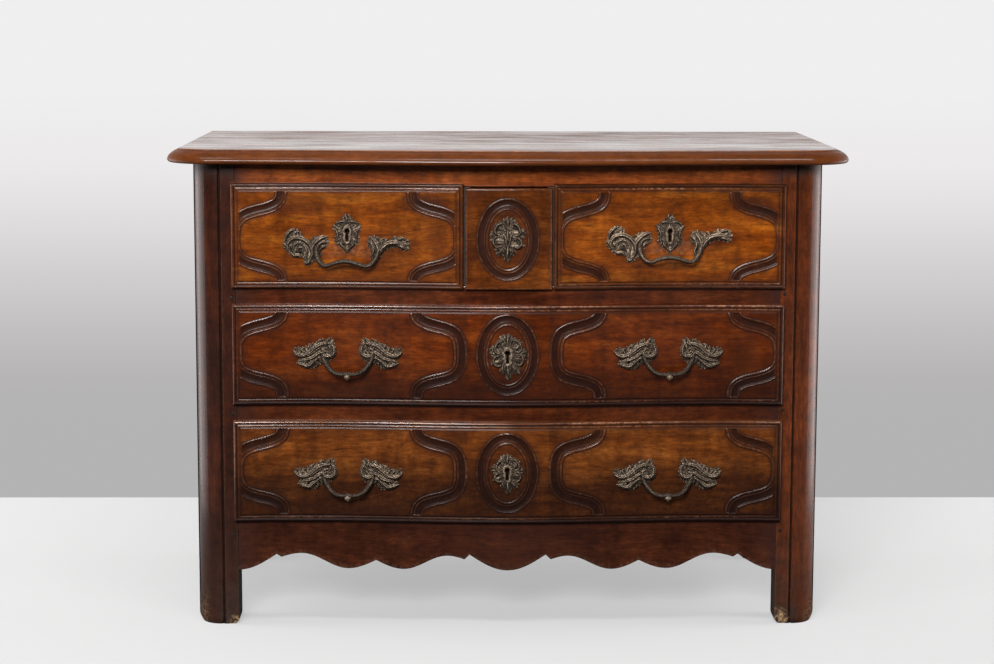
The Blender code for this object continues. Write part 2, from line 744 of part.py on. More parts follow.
def carved_channel(name, knots, cyclic, steps):
    """A cutter that follows knots of (point, handle before, handle after) in the plane of a drawer front."""
    data = bpy.data.curves.new(name, "CURVE")
    data.dimensions = "2D"
    data.resolution_u = steps
    data.bevel_mode = "OBJECT"
    data.bevel_object = CHANNEL_SECTION
    data.use_fill_caps = not cyclic
    data.fill_mode = "NONE"
    spline = data.splines.new("BEZIER")
    spline.bezier_points.add(len(knots) - 1)
    for point, (place, before, after) in zip(spline.bezier_points, knots):
        point.handle_left_type = "FREE"
        point.handle_right_type = "FREE"
        point.co = (*place, 0.0)
        point.handle_left = (*before, 0.0)
        point.handle_right = (*after, 0.0)
    spline.use_cyclic_u = cyclic
    guide = bpy.data.objects.new(name, data)
    CUTTERS.objects.link(guide)
    bpy.context.view_layer.update()
    graph = bpy.context.evaluated_depsgraph_get()
    mesh = bpy.data.meshes.new_from_object(guide.evaluated_get(graph))
    bpy.data.objects.remove(guide, do_unlink=True)
    bm = bmesh.new()
    bm.from_mesh(mesh)
    bmesh.ops.remove_doubles(bm, verts=bm.verts, dist=1e-5)
    bm.transform(Matrix.Translation((0, FACE_Y, 0)) @ Matrix.Rotation(math.pi / 2, 4, "X"))
    return make_cutter(bm, name)


def ogee_knots(edge_x, toward, middle_z, rise):
    """One end of a cartouche: from the upper border in an ogee to a round end and back to the lower border."""
    waist_z = rise * OGEE_WAIST_RISE
    top = edge_x + toward * OGEE_REACH
    top_pull = edge_x + toward * (OGEE_REACH - OGEE_LEAN)
    waist = edge_x + toward * OGEE_WAIST_REACH
    waist_out = edge_x + toward * (OGEE_WAIST_REACH + OGEE_WAIST_OUT)
    waist_in = edge_x + toward * (OGEE_WAIST_REACH - OGEE_WAIST_IN)
    apex = edge_x + toward * OGEE_APEX
    return [
        ((top, middle_z + rise), (top, middle_z + rise * 1.2), (top_pull, middle_z + rise * 0.85)),
        (
            (waist, middle_z + waist_z),
            (waist_out, middle_z + waist_z + rise * 0.109),
            (waist_in, middle_z + waist_z - rise * 0.100),
        ),
        ((apex, middle_z), (apex, middle_z + rise * 0.40), (apex, middle_z - rise * 0.40)),
        (
            (waist, middle_z - waist_z),
            (waist_in, middle_z - waist_z + rise * 0.100),
            (waist_out, middle_z - waist_z - rise * 0.109),
        ),
        ((top, middle_z - rise), (top_pull, middle_z - rise * 0.85), (top, middle_z - rise * 1.2)),
    ]


def oval_knots(middle_z):
    """An upright oval about the middle of the front."""
    pull_x = OVAL_HALF_WIDTH * 0.5523
    pull_z = OVAL_HALF_HEIGHT * 0.5523
    right = (OVAL_HALF_WIDTH, middle_z)
    upper = (0.0, middle_z + OVAL_HALF_HEIGHT)
    left = (-OVAL_HALF_WIDTH, middle_z)
    lower = (0.0, middle_z - OVAL_HALF_HEIGHT)
    return [
        (right, (right[0], middle_z - pull_z), (right[0], middle_z + pull_z)),
        (upper, (pull_x, upper[1]), (-pull_x, upper[1])),
        (left, (left[0], middle_z + pull_z), (left[0], middle_z - pull_z)),
        (lower, (-pull_x, lower[1]), (pull_x, lower[1])),
    ]


def border_groove(lip):
    """A cutter for the narrow groove that runs round a drawer front inside its lip."""
    x0, x1, z0, z1 = lip
    rings = []
    for inset, y in (
        (BORDER_WIDTH - 2 * BORDER_GROOVE_HALF, FACE_Y - BORDER_GROOVE_DEPTH),
        (BORDER_WIDTH, FACE_Y + BORDER_GROOVE_DEPTH),
        (BORDER_WIDTH + 2 * BORDER_GROOVE_HALF, FACE_Y - BORDER_GROOVE_DEPTH),
    ):
        rings.append(
            [
                (x0 + inset, y, z0 + inset),
                (x1 - inset, y, z0 + inset),
                (x1 - inset, y, z1 - inset),
                (x0 + inset, y, z1 - inset),
            ]
        )
    bm = bmesh.new()
    rows = [[bm.verts.new(point) for point in ring] for ring in rings]
    for a, b in ((0, 1), (1, 2), (2, 0)):
        for i in range(4):
            j = (i + 1) % 4
            bm.faces.new((rows[a][i], rows[a][j], rows[b][j], rows[b][i]))
    return make_cutter(bm, "border_groove")


def tail_shapes(z0, z1, base_y, tip_y, before_base, past_tip, clearance):
    """Dovetails along one end of a drawer side, narrow at the base and wide at the tip, each with its clearance."""
    pitch = (z1 - z0) / TAILS
    away = math.copysign(1.0, tip_y - base_y)
    start = base_y - away * before_base
    end = tip_y + away * past_tip
    halves = []
    for y in (start, end):
        share = (y - base_y) / (tip_y - base_y)
        halves.append(pitch * (TAIL_BASE_SHARE + (TAIL_TIP_SHARE - TAIL_BASE_SHARE) * share) / 2 + clearance)
    found = []
    for k in range(TAILS):
        z = z0 + (k + 0.5) * pitch
        found.append(((start, z - halves[0]), (end, z - halves[1]), (end, z + halves[1]), (start, z + halves[0])))
    return found


def tails(z0, z1, base_y, tip_y):
    return tail_shapes(z0, z1, base_y, tip_y, 0.0, 0.0, 0.0)


def tail_sockets(z0, z1, base_y, tip_y, past_tip):
    """The sockets for a row of dovetails, open at the face that the tails enter."""
    return tail_shapes(z0, z1, base_y, tip_y, CUT_OVERRUN, past_tip, GAP)


def keyhole_prisms(bm, x, z, y0, y1):
    """The round and the slot of a keyhole as one outline."""
    points = []
    low = math.asin(KEYHOLE_SLOT_HALF / KEYHOLE_RADIUS)
    for k in range(KEYHOLE_STEPS + 1):
        angle = -math.pi / 2 + low + (2 * math.pi - 2 * low) * k / KEYHOLE_STEPS
        points.append((x + KEYHOLE_RADIUS * math.cos(angle), z + KEYHOLE_RADIUS * math.sin(angle)))
    points.append((x - KEYHOLE_SLOT_HALF, z - KEYHOLE_DROP))
    points.append((x + KEYHOLE_SLOT_HALF, z - KEYHOLE_DROP))
    add_bar_y(bm, points, y0, y1)


def make_front(name, lip, body, ogees, oval_z, keyhole, studs, border, sides_z):
    """A drawer front: lipped board with rounded edges, carved, socketed for the sides, then bowed."""
    bm = bmesh.new()
    add_box(bm, (lip[0], FACE_Y, lip[2]), (lip[1], LIP_BACK_Y, lip[3]))
    rim = [e for e in bm.edges if all(v.co.y < FACE_Y + 1e-5 for v in e.verts)]
    bmesh.ops.bevel(bm, geom=rim, offset=FRONT_EDGE_ROUND, segments=2, profile=0.5, affect="EDGES")
    slice_at_stations(bm)
    front = make_part(bm, name, WALNUT)
    bm = bmesh.new()
    add_box(bm, (body[0], LIP_BACK_Y - CUT_OVERRUN, body[2]), (body[1], BODY_BACK_Y, body[3]))
    boolean(front, make_cutter(bm, name + "_body"), "UNION")
    if border:
        boolean(front, border_groove(lip), "DIFFERENCE")
    for edge_x, toward in ogees:
        rise = (lip[3] - lip[2]) / 2 - BORDER_WIDTH
        knots = ogee_knots(edge_x, toward, (lip[2] + lip[3]) / 2, rise)
        boolean(front, carved_channel(name + "_ogee", knots, False, OGEE_STEPS), "DIFFERENCE")
    if oval_z:
        boolean(front, carved_channel(name + "_oval", oval_knots(oval_z), True, OVAL_STEPS), "DIFFERENCE")
    bm = bmesh.new()
    shoulder_y = BODY_BACK_Y + GAP
    if sides_z:
        for x0, x1 in (
            (body[0] - CUT_OVERRUN, body[0] + SIDE_THICKNESS + GAP),
            (body[1] - SIDE_THICKNESS - GAP, body[1] + CUT_OVERRUN),
        ):
            for socket in tail_sockets(sides_z[0], sides_z[1], shoulder_y, shoulder_y - TAIL_LENGTH, GAP):
                add_bar_x(bm, socket, x0, x1)
    if keyhole:
        keyhole_prisms(bm, keyhole[0], keyhole[1], FACE_Y - CUT_REACH, BODY_BACK_Y + CUT_REACH)
    for x, z in studs:
        add_pin_y(bm, x, z, STUD_RADIUS + STUD_CLEARANCE, FACE_Y - CUT_REACH, FACE_Y + STUD_LENGTH + GAP, STUD_SIDES)
    if len(bm.faces):
        boolean(front, make_cutter(bm, name + "_cuts"), "DIFFERENCE")
    else:
        bm.free()
    if sides_z:
        low = sides_z[0] + BOTTOM_RISE - GAP
        groove = (
            (body[0] + SIDE_THICKNESS - BOTTOM_GROOVE, BODY_BACK_Y - BOTTOM_GROOVE - GAP, low),
            (body[1] - SIDE_THICKNESS + BOTTOM_GROOVE, BODY_BACK_Y + CUT_REACH, low + BOTTOM_THICKNESS + 2 * GAP),
        )
        cut_boxes(front, [groove])
    settle(front)
    bend_front(front, LIP_BACK_Y + 1e-5)
    return front


def side_outline(z0, z1, front_y, back_base_y, back_tip_y, back_z0):
    """A drawer side seen from the side, with dovetails at the front and at the back."""
    points = [(front_y, z0)]
    for a, b, c, d in tails(z0, z1, front_y, front_y - TAIL_LENGTH):
        points.extend((a, b, c, d))
    points.append((front_y, z1))
    points.append((back_base_y, z1))
    for a, b, c, d in reversed(tails(back_z0, z1, back_base_y, back_tip_y)):
        points.extend((d, c, b, a))
    points.append((back_base_y, z0))
    return points


def make_drawer(name, opening_x, opening_z, lips_x, keyhole, studs, ogees, oval_z):
    """A whole drawer: carved front, two dovetailed sides, a back, and a bottom in grooves."""
    lip = (opening_x[0] - lips_x[0], opening_x[1] + lips_x[1], opening_z[0] - LIP, opening_z[1] + LIP)
    body = (
        opening_x[0] + RUNNING_CLEARANCE,
        opening_x[1] - RUNNING_CLEARANCE,
        opening_z[0] + GAP,
        opening_z[1] - RUNNING_CLEARANCE,
    )
    sides_z = (opening_z[0] + GAP, opening_z[1] - SIDE_HEADROOM)
    make_front(name + "_front", lip, body, ogees, oval_z, keyhole, studs, True, sides_z)
    bottom_z = sides_z[0] + BOTTOM_RISE
    back_z0 = bottom_z + BOTTOM_THICKNESS + GAP
    shoulder_y = BODY_BACK_Y + GAP
    back_front_y = DRAWER_END_Y - BACK_BOARD_THICKNESS
    outline = side_outline(sides_z[0], sides_z[1], shoulder_y, back_front_y - GAP, DRAWER_END_Y, back_z0)
    groove_low = (body[0] + SIDE_THICKNESS - BOTTOM_GROOVE - GAP, BODY_BACK_Y - FRONT_BODY, bottom_z - GAP)
    groove_high = (
        body[1] - SIDE_THICKNESS + BOTTOM_GROOVE + GAP,
        DRAWER_END_Y + CUT_REACH,
        bottom_z + BOTTOM_THICKNESS + GAP,
    )
    for hand, x0 in (("left", body[0]), ("right", body[1] - SIDE_THICKNESS)):
        bm = bmesh.new()
        add_bar_x(bm, outline, x0, x0 + SIDE_THICKNESS)
        side_board = make_part(bm, name + "_side_" + hand, OAK)
        cut_boxes(side_board, [(groove_low, groove_high)])
    bm = bmesh.new()
    add_box(bm, (body[0], back_front_y, back_z0), (body[1], DRAWER_END_Y, sides_z[1]))
    back = make_part(bm, name + "_back", OAK)
    bm = bmesh.new()
    for x0, x1 in (
        (body[0] - CUT_OVERRUN, body[0] + SIDE_THICKNESS + GAP),
        (body[1] - SIDE_THICKNESS - GAP, body[1] + CUT_OVERRUN),
    ):
        for socket in tail_sockets(back_z0, sides_z[1], back_front_y - GAP, DRAWER_END_Y, CUT_OVERRUN):
            add_bar_x(bm, socket, x0, x1)
    boolean(back, make_cutter(bm, name + "_back_sockets"), "DIFFERENCE")
    bm = bmesh.new()
    low = (groove_low[0] + GAP, BODY_BACK_Y - BOTTOM_GROOVE + GAP, bottom_z)
    add_box(bm, low, (groove_high[0] - GAP, DRAWER_END_Y, bottom_z + BOTTOM_THICKNESS))
    make_part(bm, name + "_bottom", OAK)
    return lip, body


def middle_of(opening_z):
    return (opening_z[0] + opening_z[1]) / 2


# Where each pair of handles stands from the middle of the commode, and where its studs go
HANDLE_X = CARTOUCHE_X
STUD_REACH_TOP = (-0.078, 0.078)
STUD_REACH_LOWER = (-0.066, 0.066)
STUD_Z_TOP = -0.012
STUD_Z_LOWER = 0.004
HANDLE_DROP_LOWER = -0.008
KEYHOLE_TOP_Z = 0.010
KEYHOLE_LOW_Z = 0.004

top_z = middle_of(TOP_Z)
middle_z = middle_of(MIDDLE_Z)
lower_z = middle_of(LOWER_Z)
for side, hand in ((-1, "left"), (1, "right")):
    if side < 0:
        opening_x = (-IN_X, -PARTITION_OUT)
        lips_x = (LIP, PARTITION_LIP)
    else:
        opening_x = (PARTITION_OUT, IN_X)
        lips_x = (PARTITION_LIP, LIP)
    studs = [(side * HANDLE_X + reach, top_z + STUD_Z_TOP) for reach in STUD_REACH_TOP]
    ogees = [(opening_x[0] - lips_x[0], 1), (opening_x[1] + lips_x[1], -1)]
    key = (side * HANDLE_X, top_z + KEYHOLE_TOP_Z)
    make_drawer("drawer_top_" + hand, opening_x, TOP_Z, lips_x, key, studs, ogees, None)

LONG_OGEES = [(-CARTOUCHE_OUT, 1), (-CARTOUCHE_IN, -1), (CARTOUCHE_IN, 1), (CARTOUCHE_OUT, -1)]
for name, opening_z, drop in (("drawer_middle", MIDDLE_Z, 0.0), ("drawer_lower", LOWER_Z, HANDLE_DROP_LOWER)):
    level = middle_of(opening_z)
    studs = []
    for side in (-1, 1):
        studs += [(side * HANDLE_X + reach, level + drop + STUD_Z_LOWER) for reach in STUD_REACH_LOWER]
    key = (0.0, level + KEYHOLE_LOW_Z)
    make_drawer(name, (-IN_X, IN_X), opening_z, (LIP, LIP), key, studs, LONG_OGEES, level)

secret_lip = (-SECRET_WIDTH / 2, SECRET_WIDTH / 2, TOP_Z[0] - LIP, TOP_Z[1] - RUNNING_CLEARANCE)
secret_body = (
    -PARTITION_IN + RUNNING_CLEARANCE,
    PARTITION_IN - RUNNING_CLEARANCE,
    TOP_Z[0] + GAP,
    TOP_Z[1] - RUNNING_CLEARANCE,
)
make_front("secret_front", secret_lip, secret_body, [], top_z, None, [(0.0, top_z)], False, None)
bm = bmesh.new()
tray_top = TOP_Z[1] - SIDE_HEADROOM
add_box(bm, (secret_body[0], BODY_BACK_Y + GAP, secret_body[2]), (secret_body[1], DRAWER_END_Y, tray_top))
tray = make_part(bm, "secret_tray", OAK)
hollow_low = (secret_body[0] + TRAY_WALL, BODY_BACK_Y + TRAY_WALL, secret_body[2] + TRAY_WALL)
hollow_high = (secret_body[1] - TRAY_WALL, DRAWER_END_Y - TRAY_WALL, tray_top + CUT_REACH)
cut_boxes(tray, [(hollow_low, hollow_high)])

# Leaf outlines of the bronze handles, seen from the front, from the middle of the handle
SHELL_LEAF = (
    (-0.1085, 0.0137), (-0.0952, 0.0188), (-0.0850, 0.0117), (-0.0798, -0.0006), (-0.0696, -0.0027),
    (-0.0604, 0.0035), (-0.0481, 0.0055), (-0.0368, 0.0004), (-0.0338, -0.0078), (-0.0389, -0.0149),
    (-0.0470, -0.0221), (-0.0490, -0.0323), (-0.0604, -0.0426), (-0.0716, -0.0497), (-0.0809, -0.0456),
    (-0.0798, -0.0364), (-0.0900, -0.0303), (-0.0993, -0.0344), (-0.1085, -0.0262), (-0.1177, -0.0149),
    (-0.1146, 0.0004),
)
TAIL_LEAF = (
    (0.0389, 0.0004), (0.0460, 0.0055), (0.0573, 0.0014), (0.0675, -0.0057), (0.0778, -0.0057),
    (0.0880, 0.0004), (0.0983, -0.0016), (0.1105, -0.0037), (0.1157, -0.0139), (0.1095, -0.0262),
    (0.0962, -0.0211), (0.0819, -0.0201), (0.0696, -0.0262), (0.0624, -0.0344), (0.0532, -0.0467),
    (0.0460, -0.0446), (0.0440, -0.0323), (0.0450, -0.0200), (0.0389, -0.0160),
)
FAN_LEAF = (
    (-0.0279, 0.0324), (-0.0238, 0.0175), (-0.0220, 0.0082), (-0.0249, -0.0011),
    (-0.0342, -0.0134), (-0.0528, -0.0171), (-0.0670, -0.0253),
    (-0.0770, -0.0216), (-0.0882, -0.0149), (-0.0930, -0.0097), (-0.0840, -0.0050), (-0.0937, -0.0011),
    (-0.1004, 0.0063), (-0.0993, 0.0130), (-0.0919, 0.0156), (-0.0807, 0.0149), (-0.0733, 0.0193),
    (-0.0640, 0.0223), (-0.0528, 0.0275), (-0.0446, 0.0312), (-0.0417, 0.0258), (-0.0342, 0.0305),
)
# Spine of a handle from leaf tip to leaf tip: place, standing out from the front, thickness as a share
TOP_SPINE = (
    (-0.1060, -0.0020, 0.0050, 0.70),
    (-0.0920, 0.0030, 0.0055, 0.95),
    (-0.0780, -0.0110, 0.0060, 1.05),
    (-0.0590, -0.0210, 0.0080, 1.12),
    (-0.0520, -0.0310, 0.0125, 1.15),
    (-0.0490, -0.0420, 0.0220, 1.10),
    (-0.0409, -0.0470, BAIL_REACH, 1.00),
    (-0.0246, -0.0430, BAIL_REACH, 0.95),
    (-0.0030, -0.0390, BAIL_REACH, 1.05),
    (0.0205, -0.0430, BAIL_REACH, 0.95),
    (0.0360, -0.0475, BAIL_REACH, 1.00),
    (0.0491, -0.0440, 0.0220, 1.10),
    (0.0545, -0.0330, 0.0110, 1.15),
    (0.0560, -0.0200, 0.0070, 1.05),
    (0.0690, -0.0120, 0.0055, 1.00),
    (0.0850, -0.0110, 0.0050, 0.90),
    (0.1040, -0.0130, 0.0050, 0.75),
)
LOWER_SPINE = (
    (-0.0930, 0.0080, 0.0050, 0.65),
    (-0.0760, 0.0070, 0.0055, 0.95),
    (-0.0560, 0.0060, 0.0060, 1.10),
    (-0.0440, -0.0020, 0.0070, 1.10),
    (-0.0390, -0.0135, 0.0110, 1.05),
    (-0.0325, -0.0235, 0.0190, 1.00),
    (-0.0190, -0.0310, BAIL_REACH, 1.00),
    (0.0000, -0.0315, BAIL_REACH, 1.10),
)


def add_leaf(bm, outline):
    """A cast leaf as a flat plate of its outline."""
    add_loft(bm, [[(x, y, z) for x, z in outline] for y in (0.0, -LEAF_THICKNESS)])


def spine_tube(name, spine):
    """The round bar that swells out of one leaf, hangs as the bail and runs into the other leaf."""
    data = bpy.data.curves.new(name, "CURVE")
    data.dimensions = "3D"
    data.bevel_depth = BAIL_RADIUS
    data.bevel_resolution = 1
    data.use_fill_caps = True
    spline = data.splines.new("POLY")
    spline.points.add(len(spine) - 1)
    for point, (x, z, out, share) in zip(spline.points, spine):
        point.co = (x, -out, z, 1.0)
        point.radius = share
    guide = bpy.data.objects.new(name, data)
    CUTTERS.objects.link(guide)
    bpy.context.view_layer.update()
    graph = bpy.context.evaluated_depsgraph_get()
    mesh = bpy.data.meshes.new_from_object(guide.evaluated_get(graph))
    bpy.data.objects.remove(guide, do_unlink=True)
    bm = bmesh.new()
    bm.from_mesh(mesh)
    bmesh.ops.remove_doubles(bm, verts=bm.verts, dist=1e-5)
    return make_cutter(bm, name)


def make_mount(obj, x, z):
    """Sets a bronze mount made about the origin against the bowed face of a drawer front."""
    bm = bmesh.new()
    bm.from_mesh(obj.data)
    bmesh.ops.triangulate(bm, faces=bm.faces)
    bmesh.ops.translate(bm, verts=bm.verts, vec=(x, FACE_Y - GAP, z))
    slice_at_stations(bm)
    bm.to_mesh(obj.data)
    bm.free()
    bend_front(obj, FRONT_Y)


def make_handle(name, leaves, spine, knop, studs, x, z):
    """A handle cast in one piece: two leaves, the bail between them and the studs that hold it."""
    bm = bmesh.new()
    add_leaf(bm, leaves[0])
    handle = make_part(bm, name, BRONZE)
    boolean(handle, spine_tube(name + "_spine", spine), "UNION")
    bm = bmesh.new()
    add_leaf(bm, leaves[1])
    boolean(handle, make_cutter(bm, name + "_leaf"), "UNION")
    bm = bmesh.new()
    for stud_x, stud_z in studs:
        add_pin_y(bm, stud_x, stud_z, STUD_RADIUS, -LEAF_THICKNESS / 2, STUD_LENGTH, STUD_SIDES)
    boolean(handle, make_cutter(bm, name + "_studs"), "UNION")
    if knop:
        bm = bmesh.new()
        place = Matrix.Translation((0.0, -BAIL_REACH, spine[len(spine) // 2][1] - 0.002))
        bmesh.ops.create_icosphere(bm, subdivisions=1, radius=KNOP_RADIUS, matrix=place)
        boolean(handle, make_cutter(bm, name + "_knop"), "UNION")
    settle(handle)
    make_mount(handle, x, z)
    return handle


lower_spine = LOWER_SPINE + tuple((-x, z, out, share) for x, z, out, share in reversed(LOWER_SPINE[:-1]))
fan_leaves = (FAN_LEAF, tuple((-x, z) for x, z in FAN_LEAF))
for side, hand in ((-1, "left"), (1, "right")):
    studs = [(reach, STUD_Z_TOP) for reach in STUD_REACH_TOP]
    make_handle("handle_top_" + hand, (SHELL_LEAF, TAIL_LEAF), TOP_SPINE, False, studs, side * HANDLE_X, top_z)
    studs = [(reach, STUD_Z_LOWER) for reach in STUD_REACH_LOWER]
    make_handle("handle_middle_" + hand, fan_leaves, lower_spine, True, studs, side * HANDLE_X, middle_z)
    low = lower_z + HANDLE_DROP_LOWER
    make_handle("handle_lower_" + hand, fan_leaves, lower_spine, True, studs, side * HANDLE_X, low)


def make_escutcheon(name, x, z, size, keyhole_z, stud):
    """A lobed bronze plate with a raised middle, pierced for the key where there is a lock."""
    half_width, up, down = size
    levels = (
        (1.0, 0.0),
        (1.0, ESCUTCHEON_EDGE),
        (0.66, ESCUTCHEON_CROWN),
        (0.34, ESCUTCHEON_CROWN + ESCUTCHEON_BOSS),
    )
    count = 3 * ESCUTCHEON_LOBES
    rings = []
    for scale, out in levels:
        ring = []
        for k in range(count):
            angle = 2 * math.pi * k / count
            lobe = 1.0 - (ESCUTCHEON_NOTCH if k % 3 == 2 else 0.0)
            reach = up if math.sin(angle) > 0 else down
            ring.append((scale * lobe * half_width * math.cos(angle), -out, scale * lobe * reach * math.sin(angle)))
        rings.append(ring)
    bm = bmesh.new()
    add_loft(bm, rings)
    plate = make_part(bm, name, BRONZE)
    bm = bmesh.new()
    if stud:
        add_pin_y(bm, 0.0, 0.0, STUD_RADIUS, -ESCUTCHEON_EDGE / 2, STUD_LENGTH, STUD_SIDES)
        boolean(plate, make_cutter(bm, name + "_stud"), "UNION")
    else:
        keyhole_prisms(bm, 0.0, keyhole_z, -2 * CUT_REACH, 2 * CUT_REACH)
        boolean(plate, make_cutter(bm, name + "_keyhole"), "DIFFERENCE")
    settle(plate)
    make_mount(plate, x, z)
    return plate


def make_lock(name, x, z):
    """An iron lock on the inner face of a drawer front: plate, case and the end of its bolt."""
    bm = bmesh.new()
    back_y = BODY_BACK_Y + GAP
    half = LOCK_PLATE_WIDTH / 2
    low = (x - half, back_y, z - LOCK_PLATE_HEIGHT / 2)
    add_box(bm, low, (x + half, back_y + LOCK_PLATE_THICKNESS, z + LOCK_PLATE_HEIGHT / 2))
    lock = make_part(bm, name, IRON)
    half = LOCK_CASE_WIDTH / 2
    low = (x - half, back_y + LOCK_PLATE_THICKNESS / 2, z - LOCK_CASE_HEIGHT / 2)
    case = (low, (x + half, back_y + LOCK_CASE_DEPTH, z + LOCK_CASE_HEIGHT / 2))
    bolt_low = (x - half * 0.4, back_y + LOCK_CASE_DEPTH * 0.3, z)
    bolt = (bolt_low, (x + half * 0.4, back_y + LOCK_CASE_DEPTH * 0.8, z + LOCK_PLATE_HEIGHT * 0.45))
    join_boxes(lock, [case])
    bm = bmesh.new()
    add_box(bm, *bolt)
    boolean(lock, make_cutter(bm, name + "_bolt"), "UNION")


for side, hand in ((-1, "left"), (1, "right")):
    plate_z = top_z + TOP_ESCUTCHEON_RISE
    key_rise = KEYHOLE_TOP_Z - TOP_ESCUTCHEON_RISE
    make_escutcheon("escutcheon_top_" + hand, side * HANDLE_X, plate_z, TOP_ESCUTCHEON, key_rise, False)
    make_lock("lock_top_" + hand, side * HANDLE_X, top_z + KEYHOLE_TOP_Z)
make_escutcheon("escutcheon_middle", 0.0, middle_z, LARGE_MOUNT, KEYHOLE_LOW_Z, False)
make_escutcheon("escutcheon_lower", 0.0, lower_z, LOWER_ESCUTCHEON, KEYHOLE_LOW_Z, False)
make_escutcheon("mount_secret", 0.0, top_z, LARGE_MOUNT, 0.0, True)
make_lock("lock_middle", 0.0, middle_z)
make_lock("lock_lower", 0.0, lower_z)

# Each drawer with its front, box, mounts and lock hangs on one slide
DRAWERS = {
    "slide_top_left": ("drawer_top_left", "handle_top_left", "escutcheon_top_left", "lock_top_left"),
    "slide_top_right": ("drawer_top_right", "handle_top_right", "escutcheon_top_right", "lock_top_right"),
    "slide_secret": ("secret_", "mount_secret"),
    "slide_middle": ("drawer_middle", "handle_middle", "escutcheon_middle", "lock_middle"),
    "slide_lower": ("drawer_lower", "handle_lower", "escutcheon_lower", "lock_lower"),
}
SLIDE_PLACES = {
    "slide_top_left": (-CARTOUCHE_X, top_z),
    "slide_top_right": (CARTOUCHE_X, top_z),
    "slide_secret": (0.0, top_z),
    "slide_middle": (0.0, middle_z),
    "slide_lower": (0.0, lower_z),
}
for name, starts in DRAWERS.items():
    x, z = SLIDE_PLACES[name]
    slide = bpy.data.objects.new(name, None)
    slide.location = (x, FRONT_Y, z)
    PARTS.objects.link(slide)
    bpy.context.view_layer.update()
    for obj in PARTS.objects:
        if obj.type == "MESH" and obj.name.startswith(starts):
            obj.parent = slide
            obj.matrix_parent_inverse = slide.matrix_world.inverted()

bpy.data.objects.remove(CHANNEL_SECTION, do_unlink=True)
bpy.context.view_layer.update()
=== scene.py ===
"""A walnut commode with carved drawer fronts and bronze mounts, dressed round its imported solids."""

import json

import bmesh
import bpy
import numpy as np
from mathutils import Matrix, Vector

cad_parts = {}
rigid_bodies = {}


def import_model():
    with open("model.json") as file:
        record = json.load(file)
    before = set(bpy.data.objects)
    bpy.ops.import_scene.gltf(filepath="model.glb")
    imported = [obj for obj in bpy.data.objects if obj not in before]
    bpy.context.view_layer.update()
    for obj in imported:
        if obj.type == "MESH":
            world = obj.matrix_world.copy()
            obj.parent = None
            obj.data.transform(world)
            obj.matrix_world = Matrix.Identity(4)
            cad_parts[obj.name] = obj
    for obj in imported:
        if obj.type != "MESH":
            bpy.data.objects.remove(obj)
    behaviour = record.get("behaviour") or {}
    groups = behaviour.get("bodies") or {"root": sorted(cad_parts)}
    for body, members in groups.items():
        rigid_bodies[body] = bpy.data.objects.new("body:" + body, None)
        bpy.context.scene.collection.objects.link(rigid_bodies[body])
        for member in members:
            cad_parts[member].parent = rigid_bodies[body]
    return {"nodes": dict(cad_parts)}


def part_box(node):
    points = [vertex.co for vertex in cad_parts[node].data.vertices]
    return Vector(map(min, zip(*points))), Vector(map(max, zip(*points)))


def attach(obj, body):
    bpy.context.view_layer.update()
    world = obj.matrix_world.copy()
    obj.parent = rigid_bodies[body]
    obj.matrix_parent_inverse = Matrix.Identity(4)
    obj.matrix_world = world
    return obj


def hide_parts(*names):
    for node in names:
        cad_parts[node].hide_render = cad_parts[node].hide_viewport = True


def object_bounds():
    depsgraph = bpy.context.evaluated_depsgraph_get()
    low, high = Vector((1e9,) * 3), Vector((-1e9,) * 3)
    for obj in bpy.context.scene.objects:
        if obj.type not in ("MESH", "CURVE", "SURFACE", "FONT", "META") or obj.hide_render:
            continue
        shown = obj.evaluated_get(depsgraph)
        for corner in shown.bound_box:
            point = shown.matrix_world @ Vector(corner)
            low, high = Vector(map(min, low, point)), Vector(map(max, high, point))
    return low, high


for old in list(bpy.data.objects):
    bpy.data.objects.remove(old, do_unlink=True)

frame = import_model()
cad_low, cad_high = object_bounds()

# Front posts
# Each post is one length of walnut that runs from the top down to the floor, where it is the foot.
# A quarter round between two quirks is worked on its outer corner, and the rails are tenoned into it.

post_low, post_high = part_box("post_front_right")
INNER_X = post_low.x
OUTER_X = post_high.x
FRONT_Y = post_low.y
POST_BACK_Y = post_high.y
CASE_TOP = post_high.z
STRIP = 0.0255
QUIRK = 0.006
QUIRK_DEPTH = 0.0030
STRIP_PROUD = 0.0032
POST_HEEL = 0.030
ARRIS = 0.0016
POST_POINTS = 15
FOOT_ROUND = 0.014
FOOT_SOFT = 0.13


def add_node(tree, kind, settings, inputs):
    """A shader node with its settings, and its inputs as plain values or as outputs of other nodes."""
    node = tree.nodes.new(kind)
    for key, value in settings.items():
        setattr(node, key, value)
    for key, value in inputs.items():
        socket = next(s for s in node.inputs if key in (s.identifier, s.name))
        if isinstance(value, bpy.types.NodeSocket):
            tree.links.new(value, socket)
        else:
            socket.default_value = value
    return node


def mixed(tree, share, first, second, blend="MIX"):
    """The colour output of a node that mixes two colours by a share."""
    settings = {"data_type": "RGBA", "blend_type": blend, "clamp_factor": True}
    inputs = {"Factor_Float": share, "A_Color": first, "B_Color": second}
    node = add_node(tree, "ShaderNodeMix", settings, inputs)
    return next(s for s in node.outputs if s.identifier == "Result_Color")


def sums(tree, operation, first, second=0.0):
    """The output of one step of arithmetic."""
    inputs = {"Value": first, "Value_001": second}
    return add_node(tree, "ShaderNodeMath", {"operation": operation}, inputs).outputs[0]


def scaled(tree, value, by, plus=0.0):
    """A value times a second, plus a third."""
    inputs = {"Value": value, "Value_001": by, "Value_002": plus}
    return add_node(tree, "ShaderNodeMath", {"operation": "MULTIPLY_ADD"}, inputs).outputs[0]


def clamped(tree, value):
    """A value held between nothing and one."""
    return sums(tree, "MINIMUM", sums(tree, "MAXIMUM", value, 0.0), 1.0)


